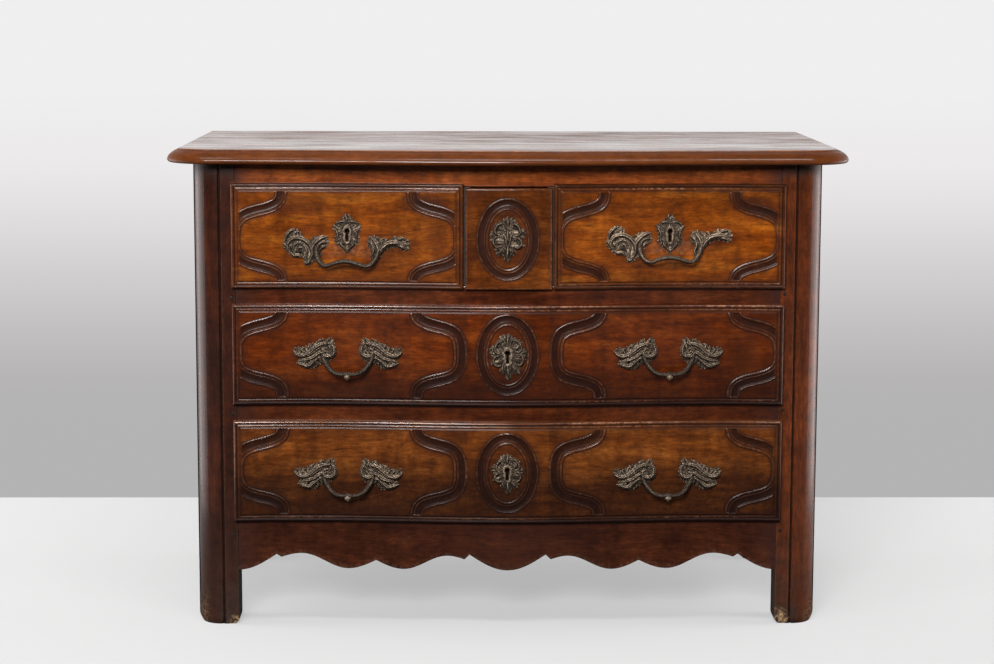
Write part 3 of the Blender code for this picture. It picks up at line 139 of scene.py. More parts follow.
def ranged(tree, value, low, high, start=0.0, end=1.0):
    """A value carried over from one range to another, and held at its ends."""
    inputs = {"Value": value, "From Min": low, "From Max": high, "To Min": start, "To Max": end}
    return add_node(tree, "ShaderNodeMapRange", {}, inputs).outputs[0]


def ramped(tree, value, stops):
    """The colour along a ramp of stops (place, colour), of which the first two are its ends."""
    ramp = add_node(tree, "ShaderNodeValToRGB", {}, {"Fac": value})
    found = ramp.color_ramp.elements
    for (place, colour), stop in zip(stops[:2], found):
        stop.position = place
        stop.color = (*colour, 1.0)
    for place, colour in stops[2:]:
        found.new(place).color = (*colour, 1.0)
    return ramp.outputs["Color"]


def noise(tree, vector, scale, detail):
    """Even noise over the object."""
    inputs = {"Vector": vector, "Scale": scale, "Detail": detail}
    return add_node(tree, "ShaderNodeTexNoise", {}, inputs).outputs["Fac"]


def stretched_noise(tree, vector, stretch, detail, roughness):
    """Noise drawn out along the grain, which is the x direction of the vector."""
    inputs = {"Vector": vector, "Vector_001": stretch}
    drawn = add_node(tree, "ShaderNodeVectorMath", {"operation": "MULTIPLY"}, inputs).outputs[0]
    inputs = {"Vector": drawn, "Scale": 1.0, "Detail": detail, "Roughness": roughness}
    return add_node(tree, "ShaderNodeTexNoise", {}, inputs).outputs


def new_group(name, inputs, outputs):
    """An empty shader group with its sockets: names and socket types going in and coming out."""
    group = bpy.data.node_groups.new(name, "ShaderNodeTree")
    for key, kind in inputs:
        group.interface.new_socket(key, in_out="INPUT", socket_type=kind)
    for key, kind in outputs:
        group.interface.new_socket(key, in_out="OUTPUT", socket_type=kind)
    return group, group.nodes.new("NodeGroupInput"), group.nodes.new("NodeGroupOutput")


def wood_figure():
    """Broad figure, fine fibre, open pores and cloudy staining of a plank whose grain runs along x."""
    outputs = [(key, "NodeSocketFloat") for key in ("Figure", "Fibre", "Pores", "Cloud", "Mottle")]
    group, start, end = new_group("wood_figure", [("Vector", "NodeSocketVector")], outputs)
    vector = start.outputs[0]
    bend = stretched_noise(group, vector, (1.6, 5.0, 5.0), 2.0, 0.5)["Color"]
    inputs = {"Vector": bend, "Vector_001": (0.0, 0.075, 0.075), "Vector_002": vector}
    bent = add_node(group, "ShaderNodeVectorMath", {"operation": "MULTIPLY_ADD"}, inputs).outputs[0]
    figure = stretched_noise(group, bent, (5.5, 40.0, 40.0), 5.0, 0.68)["Fac"]
    fibre = stretched_noise(group, bent, (26.0, 330.0, 330.0), 3.0, 0.6)["Fac"]
    mottle = stretched_noise(group, bent, (60.0, 95.0, 95.0), 3.0, 0.7)["Fac"]
    ripple = stretched_noise(group, vector, (34.0, 9.0, 9.0), 2.0, 0.5)["Fac"]
    mottle = scaled(group, ripple, 0.55, scaled(group, mottle, 0.75))
    pores = stretched_noise(group, bent, (60.0, 480.0, 480.0), 2.0, 0.6)["Fac"]
    pores = ranged(group, pores, 0.56, 0.70)
    cloud = stretched_noise(group, vector, (5.0, 9.0, 9.0), 4.0, 0.6)["Fac"]
    cloud = ranged(group, cloud, 0.34, 0.68)
    for (key, _), value in zip(outputs, (figure, fibre, pores, cloud, mottle)):
        group.links.new(value, end.inputs[key])
    return group


def handled_polish():
    """What long use does to polished wood: dark wax in quirks, old polish in corners, rubbed lines on ridges.

    Satin is how dull the polish is where nothing has touched it; gloss is how much clear wax lies over it.
    The marks also carry painted light: the hollow mark painted shade, the rubbed mark painted glints, the
    grime mark painted shadow and shade.
    """
    colour = "NodeSocketColor"
    number = "NodeSocketFloat"
    inputs = [(key, colour) for key in ("Color", "Wax And Shade Color", "Polish And Shadow Color", "Rubbed And Glint Color")]
    inputs += [("Cloud", number), ("Satin", number)]
    outputs = [("Color", colour), ("Roughness", number), ("Gloss", number)]
    group, start, end = new_group("handled_polish", inputs, outputs)
    wood, wax, polish, bare, cloud, satin = start.outputs[:6]
    marks = []
    for key in ("hollow", "rubbed", "grime"):
        marks.append(add_node(group, "ShaderNodeAttribute", {"attribute_name": key}, {}).outputs["Fac"])
    hollow, rubbed, grime = marks
    place = add_node(group, "ShaderNodeTexCoord", {}, {}).outputs["Object"]
    speck = noise(group, place, 150.0, 4.0)
    patchy = noise(group, place, 30.0, 4.0)
    grime_and_shadow_share = scaled(group, grime, scaled(group, patchy, 1.1, 0.40))
    wax_and_shade_share = scaled(group, hollow, scaled(group, speck, 0.5, 0.68))
    bare_and_glint_share = scaled(group, rubbed, scaled(group, speck, 5.0, -2.05))
    aged = mixed(group, scaled(group, speck, 0.9, -0.05), polish, wax)
    shown = mixed(group, grime_and_shadow_share, wood, aged)
    shown = mixed(group, wax_and_shade_share, shown, wax)
    group.links.new(mixed(group, bare_and_glint_share, shown, bare), end.inputs["Color"])
    shine = sums(group, "MINIMUM", rubbed, 0.60)
    dull = clamped(group, scaled(group, rubbed, -1.6, sums(group, "MAXIMUM", grime, hollow)))
    rough = scaled(group, speck, 0.08, scaled(group, cloud, 0.06, satin))
    rough = scaled(group, dull, 0.22, scaled(group, shine, -0.10, rough))
    group.links.new(rough, end.inputs["Roughness"])
    gloss = scaled(group, dull, -0.34, scaled(group, shine, 1.30, 0.34))
    group.links.new(clamped(group, gloss), end.inputs["Gloss"])
    return group


WOOD_FIGURE = wood_figure()
HANDLED_POLISH = handled_polish()
GRAIN_ALONG_X = (0.0, 0.0, 0.0)
GRAIN_ALONG_Y = (0.0, 0.0, -np.pi / 2)
GRAIN_ALONG_Z = (0.0, np.pi / 2, 0.0)
# Dark wax in pores and quirks, and the colour of painted shade
DARK_WAX_AND_SHADE = (0.0110, 0.0040, 0.0030, 1.0)
OLD_POLISH = (0.0560, 0.0215, 0.0165, 1.0)
RUBBED_WALNUT = (0.225, 0.102, 0.058, 1.0)
WOOD_SHEEN = 0.07
WAX_DULLER = 0.05


def new_material(name):
    """An empty material: itself, its nodes, its shader and the place on the object."""
    material = bpy.data.materials.new(name)
    material.use_nodes = True
    tree = material.node_tree
    place = add_node(tree, "ShaderNodeTexCoord", {}, {}).outputs["Object"]
    return material, tree, tree.nodes["Principled BSDF"], place


def plank_figure(tree, place, turn, shift):
    """The figure of a plank whose grain is turned and shifted, as named outputs."""
    inputs = {"Vector": place, "Rotation": turn, "Location": shift}
    vector = add_node(tree, "ShaderNodeMapping", {}, inputs).outputs[0]
    return add_node(tree, "ShaderNodeGroup", {"node_tree": WOOD_FIGURE}, {"Vector": vector}).outputs


def fibred(tree, wood, fibre):
    """A wood's colour made lighter and darker along its fibres."""
    grey = add_node(tree, "ShaderNodeCombineColor", {}, {"Red": fibre, "Green": fibre, "Blue": fibre})
    return mixed(tree, 1.0, wood, grey.outputs[0], "MULTIPLY")


def join_shader(tree, shader, colour, rough, height, strength, depth):
    """Leads a colour, a roughness and a height to the shader, the height through a bump."""
    bump = add_node(tree, "ShaderNodeBump", {}, {"Height": height, "Strength": strength, "Distance": depth})
    for key, value in (("Base Color", colour), ("Roughness", rough), ("Normal", bump.outputs[0])):
        tree.links.new(value, shader.inputs[key])


def walnut(name, tones, turn, shift, satin, bare=RUBBED_WALNUT, aged=OLD_POLISH, streaks=0.0):
    """Polished walnut: three tones from dark to light along the figure, with fibre, pores and handling marks.

    Streaks make the polish duller along the figure, as on a top that is wiped down. The handling marks also
    carry painted light and shade.
    """
    material, tree, shader, place = new_material(name)
    figure = plank_figure(tree, place, turn, shift)
    dark, middle, light = tones
    wood = ramped(tree, figure["Figure"], ((0.30, dark), (0.72, light), (0.50, middle)))
    fibre = scaled(tree, figure["Fibre"], 1.5, 0.25)
    mottle = scaled(tree, figure["Mottle"], 2.4, -0.56)
    wood = fibred(tree, wood, scaled(tree, fibre, mottle))
    wood = mixed(tree, scaled(tree, figure["Cloud"], 0.42), wood, (*dark, 1.0))
    wood = mixed(tree, scaled(tree, figure["Pores"], 0.42), wood, DARK_WAX_AND_SHADE)
    inputs = {"Color": wood, "Wax And Shade Color": DARK_WAX_AND_SHADE, "Polish And Shadow Color": aged, "Rubbed And Glint Color": bare}
    inputs |= {"Cloud": figure["Cloud"], "Satin": satin}
    polish = add_node(tree, "ShaderNodeGroup", {"node_tree": HANDLED_POLISH}, inputs).outputs
    rough = polish["Roughness"]
    gloss = polish["Gloss"]
    if streaks:
        streaky = scaled(tree, sums(tree, "SUBTRACT", figure["Figure"], 0.46), streaks)
        streaky = scaled(tree, figure["Cloud"], 0.12 * streaks, streaky)
        streaky = sums(tree, "MAXIMUM", streaky, 0.0)
        rough = sums(tree, "ADD", rough, streaky)
        gloss = sums(tree, "MAXIMUM", scaled(tree, streaky, -3.0, gloss), 0.0)
    height = sums(tree, "SUBTRACT", figure["Fibre"], figure["Pores"])
    join_shader(tree, shader, polish["Color"], rough, height, 0.22, 0.0004)
    tree.links.new(gloss, shader.inputs["Coat Weight"])
    shader.inputs["Coat Roughness"].default_value = satin + WAX_DULLER
    shader.inputs["Specular IOR Level"].default_value = WOOD_SHEEN
    return material


def rounded_outline(corners, radii, steps):
    """Closed outline with each corner as a circular arc.

    The arc meets its two sides at radius / tan(half angle) from the corner, and is the weighted conic of
    those two points and the corner, with the sine of the half angle as the corner's weight.
    """
    corners = np.asarray(corners, float)
    back = np.roll(corners, 1, 0) - corners
    ahead = np.roll(corners, -1, 0) - corners
    back /= np.linalg.norm(back, axis=1, keepdims=True)
    ahead /= np.linalg.norm(ahead, axis=1, keepdims=True)
    half = 0.5 * np.arccos(np.clip((back * ahead).sum(1), -1, 1))
    reach = (np.asarray(radii) / np.tan(half))[:, None, None]
    s = np.linspace(0, 1, steps)[None, :, None]
    tip = corners[:, None]
    near = tip + back[:, None] * reach
    far = tip + ahead[:, None] * reach
    weight = 2 * np.sin(half)[:, None, None] * s * (1 - s)
    arcs = ((1 - s) ** 2 * near + weight * tip + s**2 * far) / ((1 - s) ** 2 + weight + s**2)
    return arcs.reshape(-1, 2)


def ring_faces(index):
    """Four-sided faces between rings of point numbers, closed round each ring."""
    after = np.roll(index, -1, 1)
    return np.stack([index[:-1], after[:-1], after[1:], index[1:]], -1).reshape(-1, 4).tolist()


def skin(rings, capped=True):
    """Points and faces of a skin through rings of equally many points, closed round each ring."""
    index = np.arange(rings.shape[0] * rings.shape[1]).reshape(rings.shape[:2])
    faces = ring_faces(index)
    if capped:
        faces += [index[0, ::-1].tolist(), index[-1].tolist()]
    return rings.reshape(-1, 3), faces


def make_piece(name, shape, material, body, stands_for, marks=None, sharp=40):
    """A piece from its points and faces, with marks as point attributes, riding on a body."""
    points, faces = shape
    mesh = bpy.data.meshes.new(name)
    mesh.from_pydata(np.asarray(points).tolist(), [], faces)
    bm = bmesh.new()
    bm.from_mesh(mesh)
    bmesh.ops.recalc_face_normals(bm, faces=bm.faces)
    bm.to_mesh(mesh)
    bm.free()
    mesh.shade_smooth()
    mesh.set_sharp_from_angle(angle=np.radians(sharp))
    for key, values in (marks or {}).items():
        layer = mesh.attributes.new(key, "FLOAT", "POINT")
        layer.data.foreach_set("value", np.asarray(values, np.float32).ravel())
    mesh.materials.append(material)
    obj = bpy.data.objects.new(name, mesh)
    bpy.context.scene.collection.objects.link(obj)
    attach(obj, body)
    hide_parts(*stands_for)


def frame_piece(name, shape, material, node, marks=None):
    """A fixed walnut piece of the case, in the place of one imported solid."""
    make_piece(name, shape, material, "carcass", [node], marks)


def filled(outline, step):
    """The same closed outline with points added along its straight runs."""
    closed = np.concatenate([outline, outline[:1]])
    length = np.concatenate([[0], np.cumsum(np.linalg.norm(np.diff(closed, axis=0), axis=1))])
    t = np.unique(np.concatenate([length[:-1], np.arange(0, length[-1], step)]))
    return np.stack([np.interp(t, length, closed[:, k]) for k in (0, 1)], 1)


# Half width and height of the chip out of each inner toe
TOE_CHIP = {-1: (0.012, 0.013), 1: (0.015, 0.022)}
TOE_DEPTH = 0.02
CHIP_INWARD = 0.0012
CHIP_DEPTH = 0.0030
SOLE_TOP = 0.05
GRIMED_ABOVE = 0.13
# How far from its arris or height each mark fades: marks of use, and the painted shade under the top
INNER_WORN = 0.0022
QUIRK_WORN = 0.0016
SCUFF_HEIGHT = 0.035
SHADE_UNDER_TOP = 0.02
SHADE_OVER_FOOT = 0.14
HANDLED_FADE = 0.02


def front_post(side):
    """The post's section carried up z: softened at the sole, worn at its arrises, chipped at the inner toe.

    The section is strip, quirk, quarter round, quirk, strip; it shrinks towards its middle near the floor.
    """
    near = INNER_X + STRIP
    crown = OUTER_X - STRIP_PROUD
    radius = crown - near - QUIRK
    far = FRONT_Y + radius
    side_x = crown - 0.6 * QUIRK_DEPTH
    outline = (
        (INNER_X, POST_BACK_Y, POST_HEEL),
        (INNER_X, FRONT_Y, ARRIS),
        (near, FRONT_Y, ARRIS),
        (near + 0.30 * QUIRK, FRONT_Y + QUIRK_DEPTH, 0.0006),
        (near + 0.62 * QUIRK, FRONT_Y + QUIRK_DEPTH, 0.0006),
        (near + QUIRK, FRONT_Y + 0.0004, 0.0010),
        (crown, FRONT_Y, radius - 0.0025),
        (crown - 0.0004, far, 0.0010),
        (side_x, far + 0.38 * QUIRK, 0.0006),
        (side_x, far + 0.70 * QUIRK, 0.0006),
        (OUTER_X, far + 0.8 * QUIRK, 0.0008),
        (OUTER_X, POST_BACK_Y, ARRIS),
    )
    corners = [corner[:2] for corner in outline]
    radii = [corner[2] for corner in outline]
    section = filled(rounded_outline(corners, radii, POST_POINTS), 0.003)
    z = np.concatenate([np.linspace(0, SOLE_TOP, 34), np.linspace(SOLE_TOP + 0.006, CASE_TOP, 70)])
    shrink = 1 - FOOT_SOFT * np.clip(1 - z / FOOT_ROUND, 0, 1) ** 2.2
    middle = section.mean(0)
    plan = middle + (section - middle)[None] * shrink[:, None, None]
    x = plan[..., 0]
    y = plan[..., 1]
    height = np.broadcast_to(z[:, None], x.shape)
    ragged = 0.6 + 0.4 * np.sin(900 * height + 500 * x) * np.sin(700 * y + side)
    wide, tall = TOE_CHIP[side]
    toe = np.hypot((x - INNER_X - 0.6 * wide) / wide, height / tall)
    toe = toe + np.clip((y - FRONT_Y) / TOE_DEPTH, 0, None)
    chip = np.clip(1.5 - toe * (0.7 + 0.5 * ragged), 0, 1)
    x = x + CHIP_INWARD * chip
    y = y + CHIP_DEPTH * chip * ragged
    waver = 0.00012 * np.sin(31 * height + side) + 0.0001 * np.sin(83 * height)
    rings = np.stack([side * x, y + waver, height], -1)
    # Dark wax in the quirks, and painted shade on the side strip's front arris and on the last of the round
    # before the side
    in_front = np.clip((y - FRONT_Y - 0.0010) / 0.002, 0, 1) * (np.abs(x - near - 0.5 * QUIRK) < 0.6 * QUIRK)
    side_quirk_and_shade = np.abs(y - far - 0.60 * QUIRK) < 0.95 * QUIRK
    round_end_shade = np.clip((y - far + 0.0175) / 0.006, 0, 1) * (y < far) * (x > near + QUIRK)
    side_quirk_and_shade = np.maximum(side_quirk_and_shade, 0.5 * round_end_shade)
    edge = np.exp(-((np.hypot(x - INNER_X, y - FRONT_Y) / INNER_WORN) ** 2))
    edge += 0.7 * np.exp(-((np.hypot(x - near, y - FRONT_Y) / QUIRK_WORN) ** 2))
    outer = np.clip((x - near - 0.5 * radius) / HANDLED_FADE, 0, 1)
    scuff = 0.45 * ragged * outer * np.exp(-height / SCUFF_HEIGHT)
    rubbed = np.clip(0.05 * edge + 1.1 * chip + scuff, 0, 1)
    handled = np.clip((x - near - QUIRK) / HANDLED_FADE, 0, 1)
    # Painted shade just under the top; dust and scuffs near the floor, lighter on the round; the inner face
    # behind the front darker above the apron
    grime = np.exp(-(((CASE_TOP - height) / SHADE_UNDER_TOP) ** 2))
    grime += (0.95 - 0.55 * handled) * np.exp(-height / SHADE_OVER_FOOT)
    grime += (y > FRONT_Y + 0.004) * (x < near) * (height > GRIMED_ABOVE)
    marks = {"hollow": np.clip(in_front + side_quirk_and_shade, 0, 1), "rubbed": rubbed, "grime": np.clip(grime, 0, 1)}
    return skin(rings), marks


HANDS = ((-1, "left"), (1, "right"))
BARE_TOE = (0.520, 0.330, 0.165, 1.0)
SCUFFED = (0.062, 0.042, 0.035, 1.0)
POST_TONES = {
    -1: ((0.015, 0.0031, 0.0012), (0.034, 0.0068, 0.0020), (0.066, 0.0140, 0.0036)),
    1: ((0.042, 0.0085, 0.0020), (0.100, 0.0205, 0.0036), (0.155, 0.0340, 0.0060)),
}
for side, hand in HANDS:
    shape, marks = front_post(side)
    shift = (0.3 * side, 0.11, 0.05)
    polish = walnut("walnut_post_" + hand, POST_TONES[side], GRAIN_ALONG_Z, shift, 0.19, BARE_TOE, SCUFFED)
    frame_piece("front_post_" + hand, shape, polish, "post_front_" + hand, marks)

# Rear posts and the frames of the sides
# Plain squared walnut, planed and with its arrises taken off. The side rails are tenoned between the posts.

REAR_POST_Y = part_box("post_rear_right")[0].y
FRAME_ARRIS = 0.0015
REAR_HEEL = 0.020
FRAME_SHIFT = (0.7, 0.2, 0.4)


def eased_board(low, high, along, radius, corners=None):
    """A board between two corners: a rounded rectangle carried along one axis and drawn in at both ends."""
    low = np.asarray(low, float)
    high = np.asarray(high, float)
    across = [axis for axis in (0, 1, 2) if axis != along]
    turn = np.linspace(0, np.pi / 2, 5)
    inset = np.concatenate([radius * (1 - np.sin(turn)), radius * (1 - np.cos(turn))])
    drop = np.concatenate([radius * (1 - np.cos(turn)), radius * (1 - np.sin(turn))])
    place = np.concatenate([low[along] + drop[:5], high[along] - drop[5:]])
    a0, b0 = low[across]
    a1, b1 = high[across]
    section = rounded_outline([(a0, b0), (a1, b0), (a1, b1), (a0, b1)], corners or [radius] * 4, 5)
    middle = np.array([(a0 + a1) / 2, (b0 + b1) / 2])
    toward = np.sign(section - middle)
    rings = np.zeros((len(place), len(section), 3))
    rings[..., across] = section[None] - toward[None] * inset[:, None, None]
    rings[..., along] = place[:, None]
    return skin(rings)


level_walnut = walnut("walnut_frame_y", POST_TONES[1], GRAIN_ALONG_Y, FRAME_SHIFT, 0.16)
upright_walnut = walnut("walnut_frame_z", POST_TONES[1], GRAIN_ALONG_Z, FRAME_SHIFT, 0.16)
for side, hand in HANDS:
    node = "post_rear_" + hand
    low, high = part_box(node)
    heel = [REAR_HEEL if k == (1 - side) // 2 else FRAME_ARRIS for k in range(4)]
    frame_piece("rear_post_" + hand, eased_board(low, high, 2, FRAME_ARRIS, heel), upright_walnut, node)
    for level in ("top", "bottom"):
        node = "side_rail_" + level + "_" + hand
        low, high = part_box(node)
        board = eased_board((low.x, POST_BACK_Y, low.z), (high.x, REAR_POST_Y, high.z), 1, FRAME_ARRIS)
        frame_piece("side_frame_" + level + "_" + hand, board, level_walnut, node)

# Side panels
# One wide walnut board to each side, its edges bevelled down to a tongue that floats in the frame's grooves.

PANEL_TONES = ((0.050, 0.0105, 0.0028), (0.110, 0.0235, 0.0050), (0.170, 0.0420, 0.0085))
PANEL_TONGUE = 0.008
PANEL_EDGE = 0.007
PANEL_RISE = 0.006
PANEL_BEVEL = 0.040
FIELD_IN = PANEL_TONGUE + PANEL_BEVEL
FIELD_OUT = PANEL_EDGE + PANEL_RISE
panel_walnut = walnut("walnut_panel", PANEL_TONES, GRAIN_ALONG_Z, (0.15, 0.6, 0.9), 0.14)


def fielded_panel(low, high, side):
    """Rectangles drawn in from the panel's edge: flat tongue, hollow bevel, small step, flat field."""
    share = np.linspace(0, 1, 12)
    inset = PANEL_TONGUE + 0.004 + (PANEL_BEVEL - 0.005) * share
    rise = PANEL_EDGE + (PANEL_RISE - 0.0022) * share**1.25
    inset = np.concatenate([[0.0, 0.0], inset, [FIELD_IN, FIELD_IN + 0.002]])
    rise = np.concatenate([[0.0, PANEL_EDGE], rise, [FIELD_OUT - 0.0006, FIELD_OUT]])
    box = np.array([(low.y, low.z), (high.y, low.z), (high.y, high.z), (low.y, high.z)])
    toward = np.sign(box - box.mean(0))
    corner = box[None] - toward[None] * inset[:, None, None]
    s = (np.arange(24) / 24)[None, None, :, None]
    sides = (corner[:, :, None] * (1 - s) + np.roll(corner, -1, 1)[:, :, None] * s).reshape(len(inset), -1, 2)
    inner = low.x if side > 0 else high.x
    x = np.broadcast_to((inner + side * rise)[:, None], sides.shape[:2])
    step = 0.7 * (inset > FIELD_IN - 0.004) * (rise < FIELD_OUT - 0.0003)
    rings = np.stack([x, sides[..., 0], sides[..., 1]], -1)
    return skin(rings), {"grime": np.broadcast_to(step[:, None], sides.shape[:2])}


for side, hand in HANDS:
    node = "side_panel_" + hand
    shape, marks = fielded_panel(*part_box(node), side)
    make_piece("fielded_panel_" + hand, shape, panel_walnut, "carcass", [node], marks)

# Front rails and apron
# Walnut rails tenoned between the front posts. Their faces follow the serpentine of the front: full in the
# middle, hollow at the quarters. The apron's lower edge is sawn to a run of scallops.

# The top rail's tones are painted lighter than the other rails', to make up for the shadow that the top casts
# on it
RAIL_TONES = {
    "rail_top": ((0.115, 0.0240, 0.0055), (0.250, 0.0560, 0.0100), (0.360, 0.0960, 0.0180)),
    "rail_upper": ((0.036, 0.0070, 0.0020), (0.080, 0.0160, 0.0036), (0.140, 0.0320, 0.0070)),
    "rail_lower": ((0.034, 0.0068, 0.0020), (0.075, 0.0155, 0.0034), (0.130, 0.0300, 0.0065)),
}
APRON_TONES = ((0.025, 0.0060, 0.0025), (0.050, 0.0118, 0.0040), (0.078, 0.0200, 0.0065))
WAVE_SWING = 0.010
WAVE_HALF_LENGTH = 0.385
RAIL_THICKNESS = 0.030
RAIL_ARRIS = 0.0018
RAIL_PLAY = 0.0003
ARRIS_POINTS = 5
RAIL_ROWS = 7
APRON_LEVEL = 0.2


def wave(x):
    """How far the front stands out at x: a cosine less its value at the posts, and nothing beyond them."""
    swing = np.cos(np.pi * x / WAVE_HALF_LENGTH) - np.cos(np.pi * INNER_X / WAVE_HALF_LENGTH)
    return np.where(np.abs(x) < INNER_X, WAVE_SWING * swing, 0.0)


def bowed_rail(low_z, high_z, x):
    """The rail's rounded section at every x, its front pushed out by the wave; low_z may change with x."""
    low_z = np.broadcast_to(low_z, x.shape)[:, None]
    unit = np.array([(0.0, 0.0), (1.0, 0.0), (1.0, 1.0), (0.0, 1.0)])
    square = np.repeat(unit, ARRIS_POINTS, 0)
    offset = rounded_outline(unit, [RAIL_ARRIS] * 4, ARRIS_POINTS) - square
    rows = np.linspace(0, 1, RAIL_ROWS + 2)[-2:0:-1]
    y = np.concatenate([RAIL_THICKNESS * square[:, 0] + offset[:, 0], 0 * rows])
    share = np.concatenate([square[:, 1], rows])
    extra = np.concatenate([offset[:, 1], 0 * rows])
    z = low_z + share * (high_z - low_z) + extra
    depth = FRONT_Y + y - wave(x)[:, None] * np.clip(1 - y / 0.006, 0, 1)
    across = np.broadcast_to(x[:, None], z.shape)
    front = y < 0.004
    edge = np.minimum(z - low_z, high_z - z)
    rubbed = front * np.exp(-((edge / 0.0035) ** 2)) * 0.35
    grime = np.exp(-((INNER_X - np.abs(across)) / 0.03))
    grime = front * (grime + 0.45 * np.exp(-((across / 0.16) ** 2)) * (low_z < APRON_LEVEL))
    return skin(np.stack([across, depth, z], -1)), {"rubbed": rubbed, "grime": grime}


rail_x = np.linspace(-INNER_X + RAIL_PLAY, INNER_X - RAIL_PLAY, 121)
for number, (name, tones) in enumerate(RAIL_TONES.items()):
    low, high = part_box(name)
    shape, marks = bowed_rail(low.z, high.z, rail_x)
    rail_walnut = walnut("walnut_" + name, tones, GRAIN_ALONG_X, (0.4 * number, 0.7, 0.13), 0.12)
    frame_piece("bowed_" + name, shape, rail_walnut, name, marks)

# Lower edge of the apron from a post to the middle: distance from the middle, height, way of the curve
RISE_FROM_FLAT = "rise_from_flat"
RUN_TO_FLAT = "run_to_flat"
FLAT_TO_FLAT = "flat_to_flat"
STRAIGHT = "straight"
APRON_END = 0.1055
APRON_EDGE = (
    (0.4350, 0.1352, RISE_FROM_FLAT), (0.4265, 0.1296, STRAIGHT), (0.3880, 0.1368, RUN_TO_FLAT),
    (0.3000, 0.1078, FLAT_TO_FLAT), (0.2475, 0.1243, RISE_FROM_FLAT), (0.1960, 0.1078, RUN_TO_FLAT),
    (0.1130, 0.1345, FLAT_TO_FLAT), (0.0810, 0.1280, RISE_FROM_FLAT), (0.0715, 0.1372, STRAIGHT),
    (0.0000, 0.1072, RUN_TO_FLAT),
)
EASES = {
    RISE_FROM_FLAT: lambda t: 1 - np.cos(t * np.pi / 2),
    RUN_TO_FLAT: lambda t: np.sin(t * np.pi / 2),
    FLAT_TO_FLAT: lambda t: 0.5 - 0.5 * np.cos(t * np.pi),
    STRAIGHT: lambda t: t,
}


def apron_edge():
    """Places along the scalloped edge and their heights: each span goes from knot to knot by its own ease."""
    knots = [(INNER_X - RAIL_PLAY, APRON_END)] + [knot[:2] for knot in APRON_EDGE]
    share = np.linspace(0, 1, 22)[:-1]
    xs = []
    zs = []
    for (x0, z0), (x1, z1), (_, _, way) in zip(knots, knots[1:], APRON_EDGE):
        xs.append(x0 + (x1 - x0) * share)
        zs.append(z0 + (z1 - z0) * EASES[way](share))
    half_x = np.concatenate(xs)
    half_z = np.concatenate(zs)
    middle_x, middle_z = knots[-1]
    x = np.concatenate([-half_x, [middle_x], half_x[::-1]])
    z = np.concatenate([half_z, [middle_z], half_z[::-1]])
    return x, z


apron_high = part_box("apron")[1].z
edge_x, edge_z = apron_edge()
shape, marks = bowed_rail(edge_z, apron_high, edge_x)
apron_walnut = walnut("walnut_apron", APRON_TONES, GRAIN_ALONG_X, (0.9, 0.31, 0.57), 0.14)
frame_piece("scalloped_apron", shape, apron_walnut, "apron", marks)

# Pegs
# Small dark oak pegs driven through the tenons of the rails, trimmed off flush with the posts.

PEG_RADIUS = 0.0034
PEG_PROUD = 0.0006
PEG_DEPTH = 0.006
PEG_INSET = 0.0080
PEG_STAGGER = 0.004
APRON_PEG_DROP = 0.030
PEG_TONES = ((0.010, 0.006, 0.005), (0.016, 0.009, 0.007), (0.024, 0.013, 0.009))
peg_oak = walnut("dark_peg", PEG_TONES, GRAIN_ALONG_Y, (0, 0, 0), 0.30)


def peg(x, z):
    """A turned pin: circles that shrink to a soft rim where it stands out of the post."""
    turn = 2 * np.pi * np.arange(18) / 18
    size = np.array([1.0, 1.0, 0.93, 0.70]) * PEG_RADIUS
    out = np.array([-PEG_DEPTH, 0.3 * PEG_PROUD, 0.8 * PEG_PROUD, PEG_PROUD])
    ring_x = x + size[:, None] * np.cos(turn)
    ring_z = z + size[:, None] * np.sin(turn)
    rings = np.stack([ring_x, np.broadcast_to((FRONT_Y - out)[:, None], ring_x.shape), ring_z], -1)
    return skin(rings)


def joined(skins):
    """Several skins as one list of points and faces."""
    starts = np.cumsum([0] + [len(points) for points, _ in skins])
    points = np.concatenate([points for points, _ in skins])
    faces = [[i + start for i in face] for (_, own), start in zip(skins, starts) for face in own]
    return points, faces


def middle_height(node):
    """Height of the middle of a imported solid."""
    low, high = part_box(node)
    return (low.z + high.z) / 2


peg_levels = (middle_height("rail_upper"), middle_height("rail_lower"), apron_high - APRON_PEG_DROP)
pegs = []
for level in peg_levels:
    pegs += [peg(side * (INNER_X + PEG_INSET), level + PEG_STAGGER * side) for side in (-1, 1)]
make_piece("rail_pegs", joined(pegs), peg_oak, "carcass", [])

# Back boards, dust boards and partitions
# Oak boards that close the back in a rebate, carry the drawers on tongues in the rails, and part the top.

OAK_TONES = ((0.135, 0.083, 0.044), (0.270, 0.180, 0.104))
OAK_STAINED = ((0.012, 0.006, 0.003), (0.030, 0.015, 0.008))
OAK_PORE = (0.050, 0.030, 0.018, 1.0)
OAK_SOIL = (0.085, 0.052, 0.030, 1.0)
OAK_SHIFT = (0.2, 0.5, 0.8)
BOARD_ARRIS = 0.001


def oak(name, tones, turn, shift):
    """Dry oak, never polished: pale, open in the pores, darkened in clouds by age."""
    material, tree, shader, place = new_material(name)
    figure = plank_figure(tree, place, turn, shift)
    wood = mixed(tree, figure["Figure"], (*tones[0], 1.0), (*tones[1], 1.0))
    wood = fibred(tree, wood, scaled(tree, figure["Fibre"], 0.9, 0.55))
    wood = mixed(tree, scaled(tree, figure["Pores"], 0.5), wood, OAK_PORE)
    wood = mixed(tree, scaled(tree, figure["Cloud"], 0.45), wood, OAK_SOIL)
    rough = scaled(tree, figure["Cloud"], 0.15, 0.60)
    height = sums(tree, "SUBTRACT", figure["Fibre"], figure["Pores"])
    join_shader(tree, shader, wood, rough, height, 0.35, 0.0005)
    return material


def dress(names, material):
    """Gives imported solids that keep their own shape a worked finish."""
    for name in names:
        mesh = frame["nodes"][name].data
        mesh.materials.clear()
        mesh.materials.append(material)


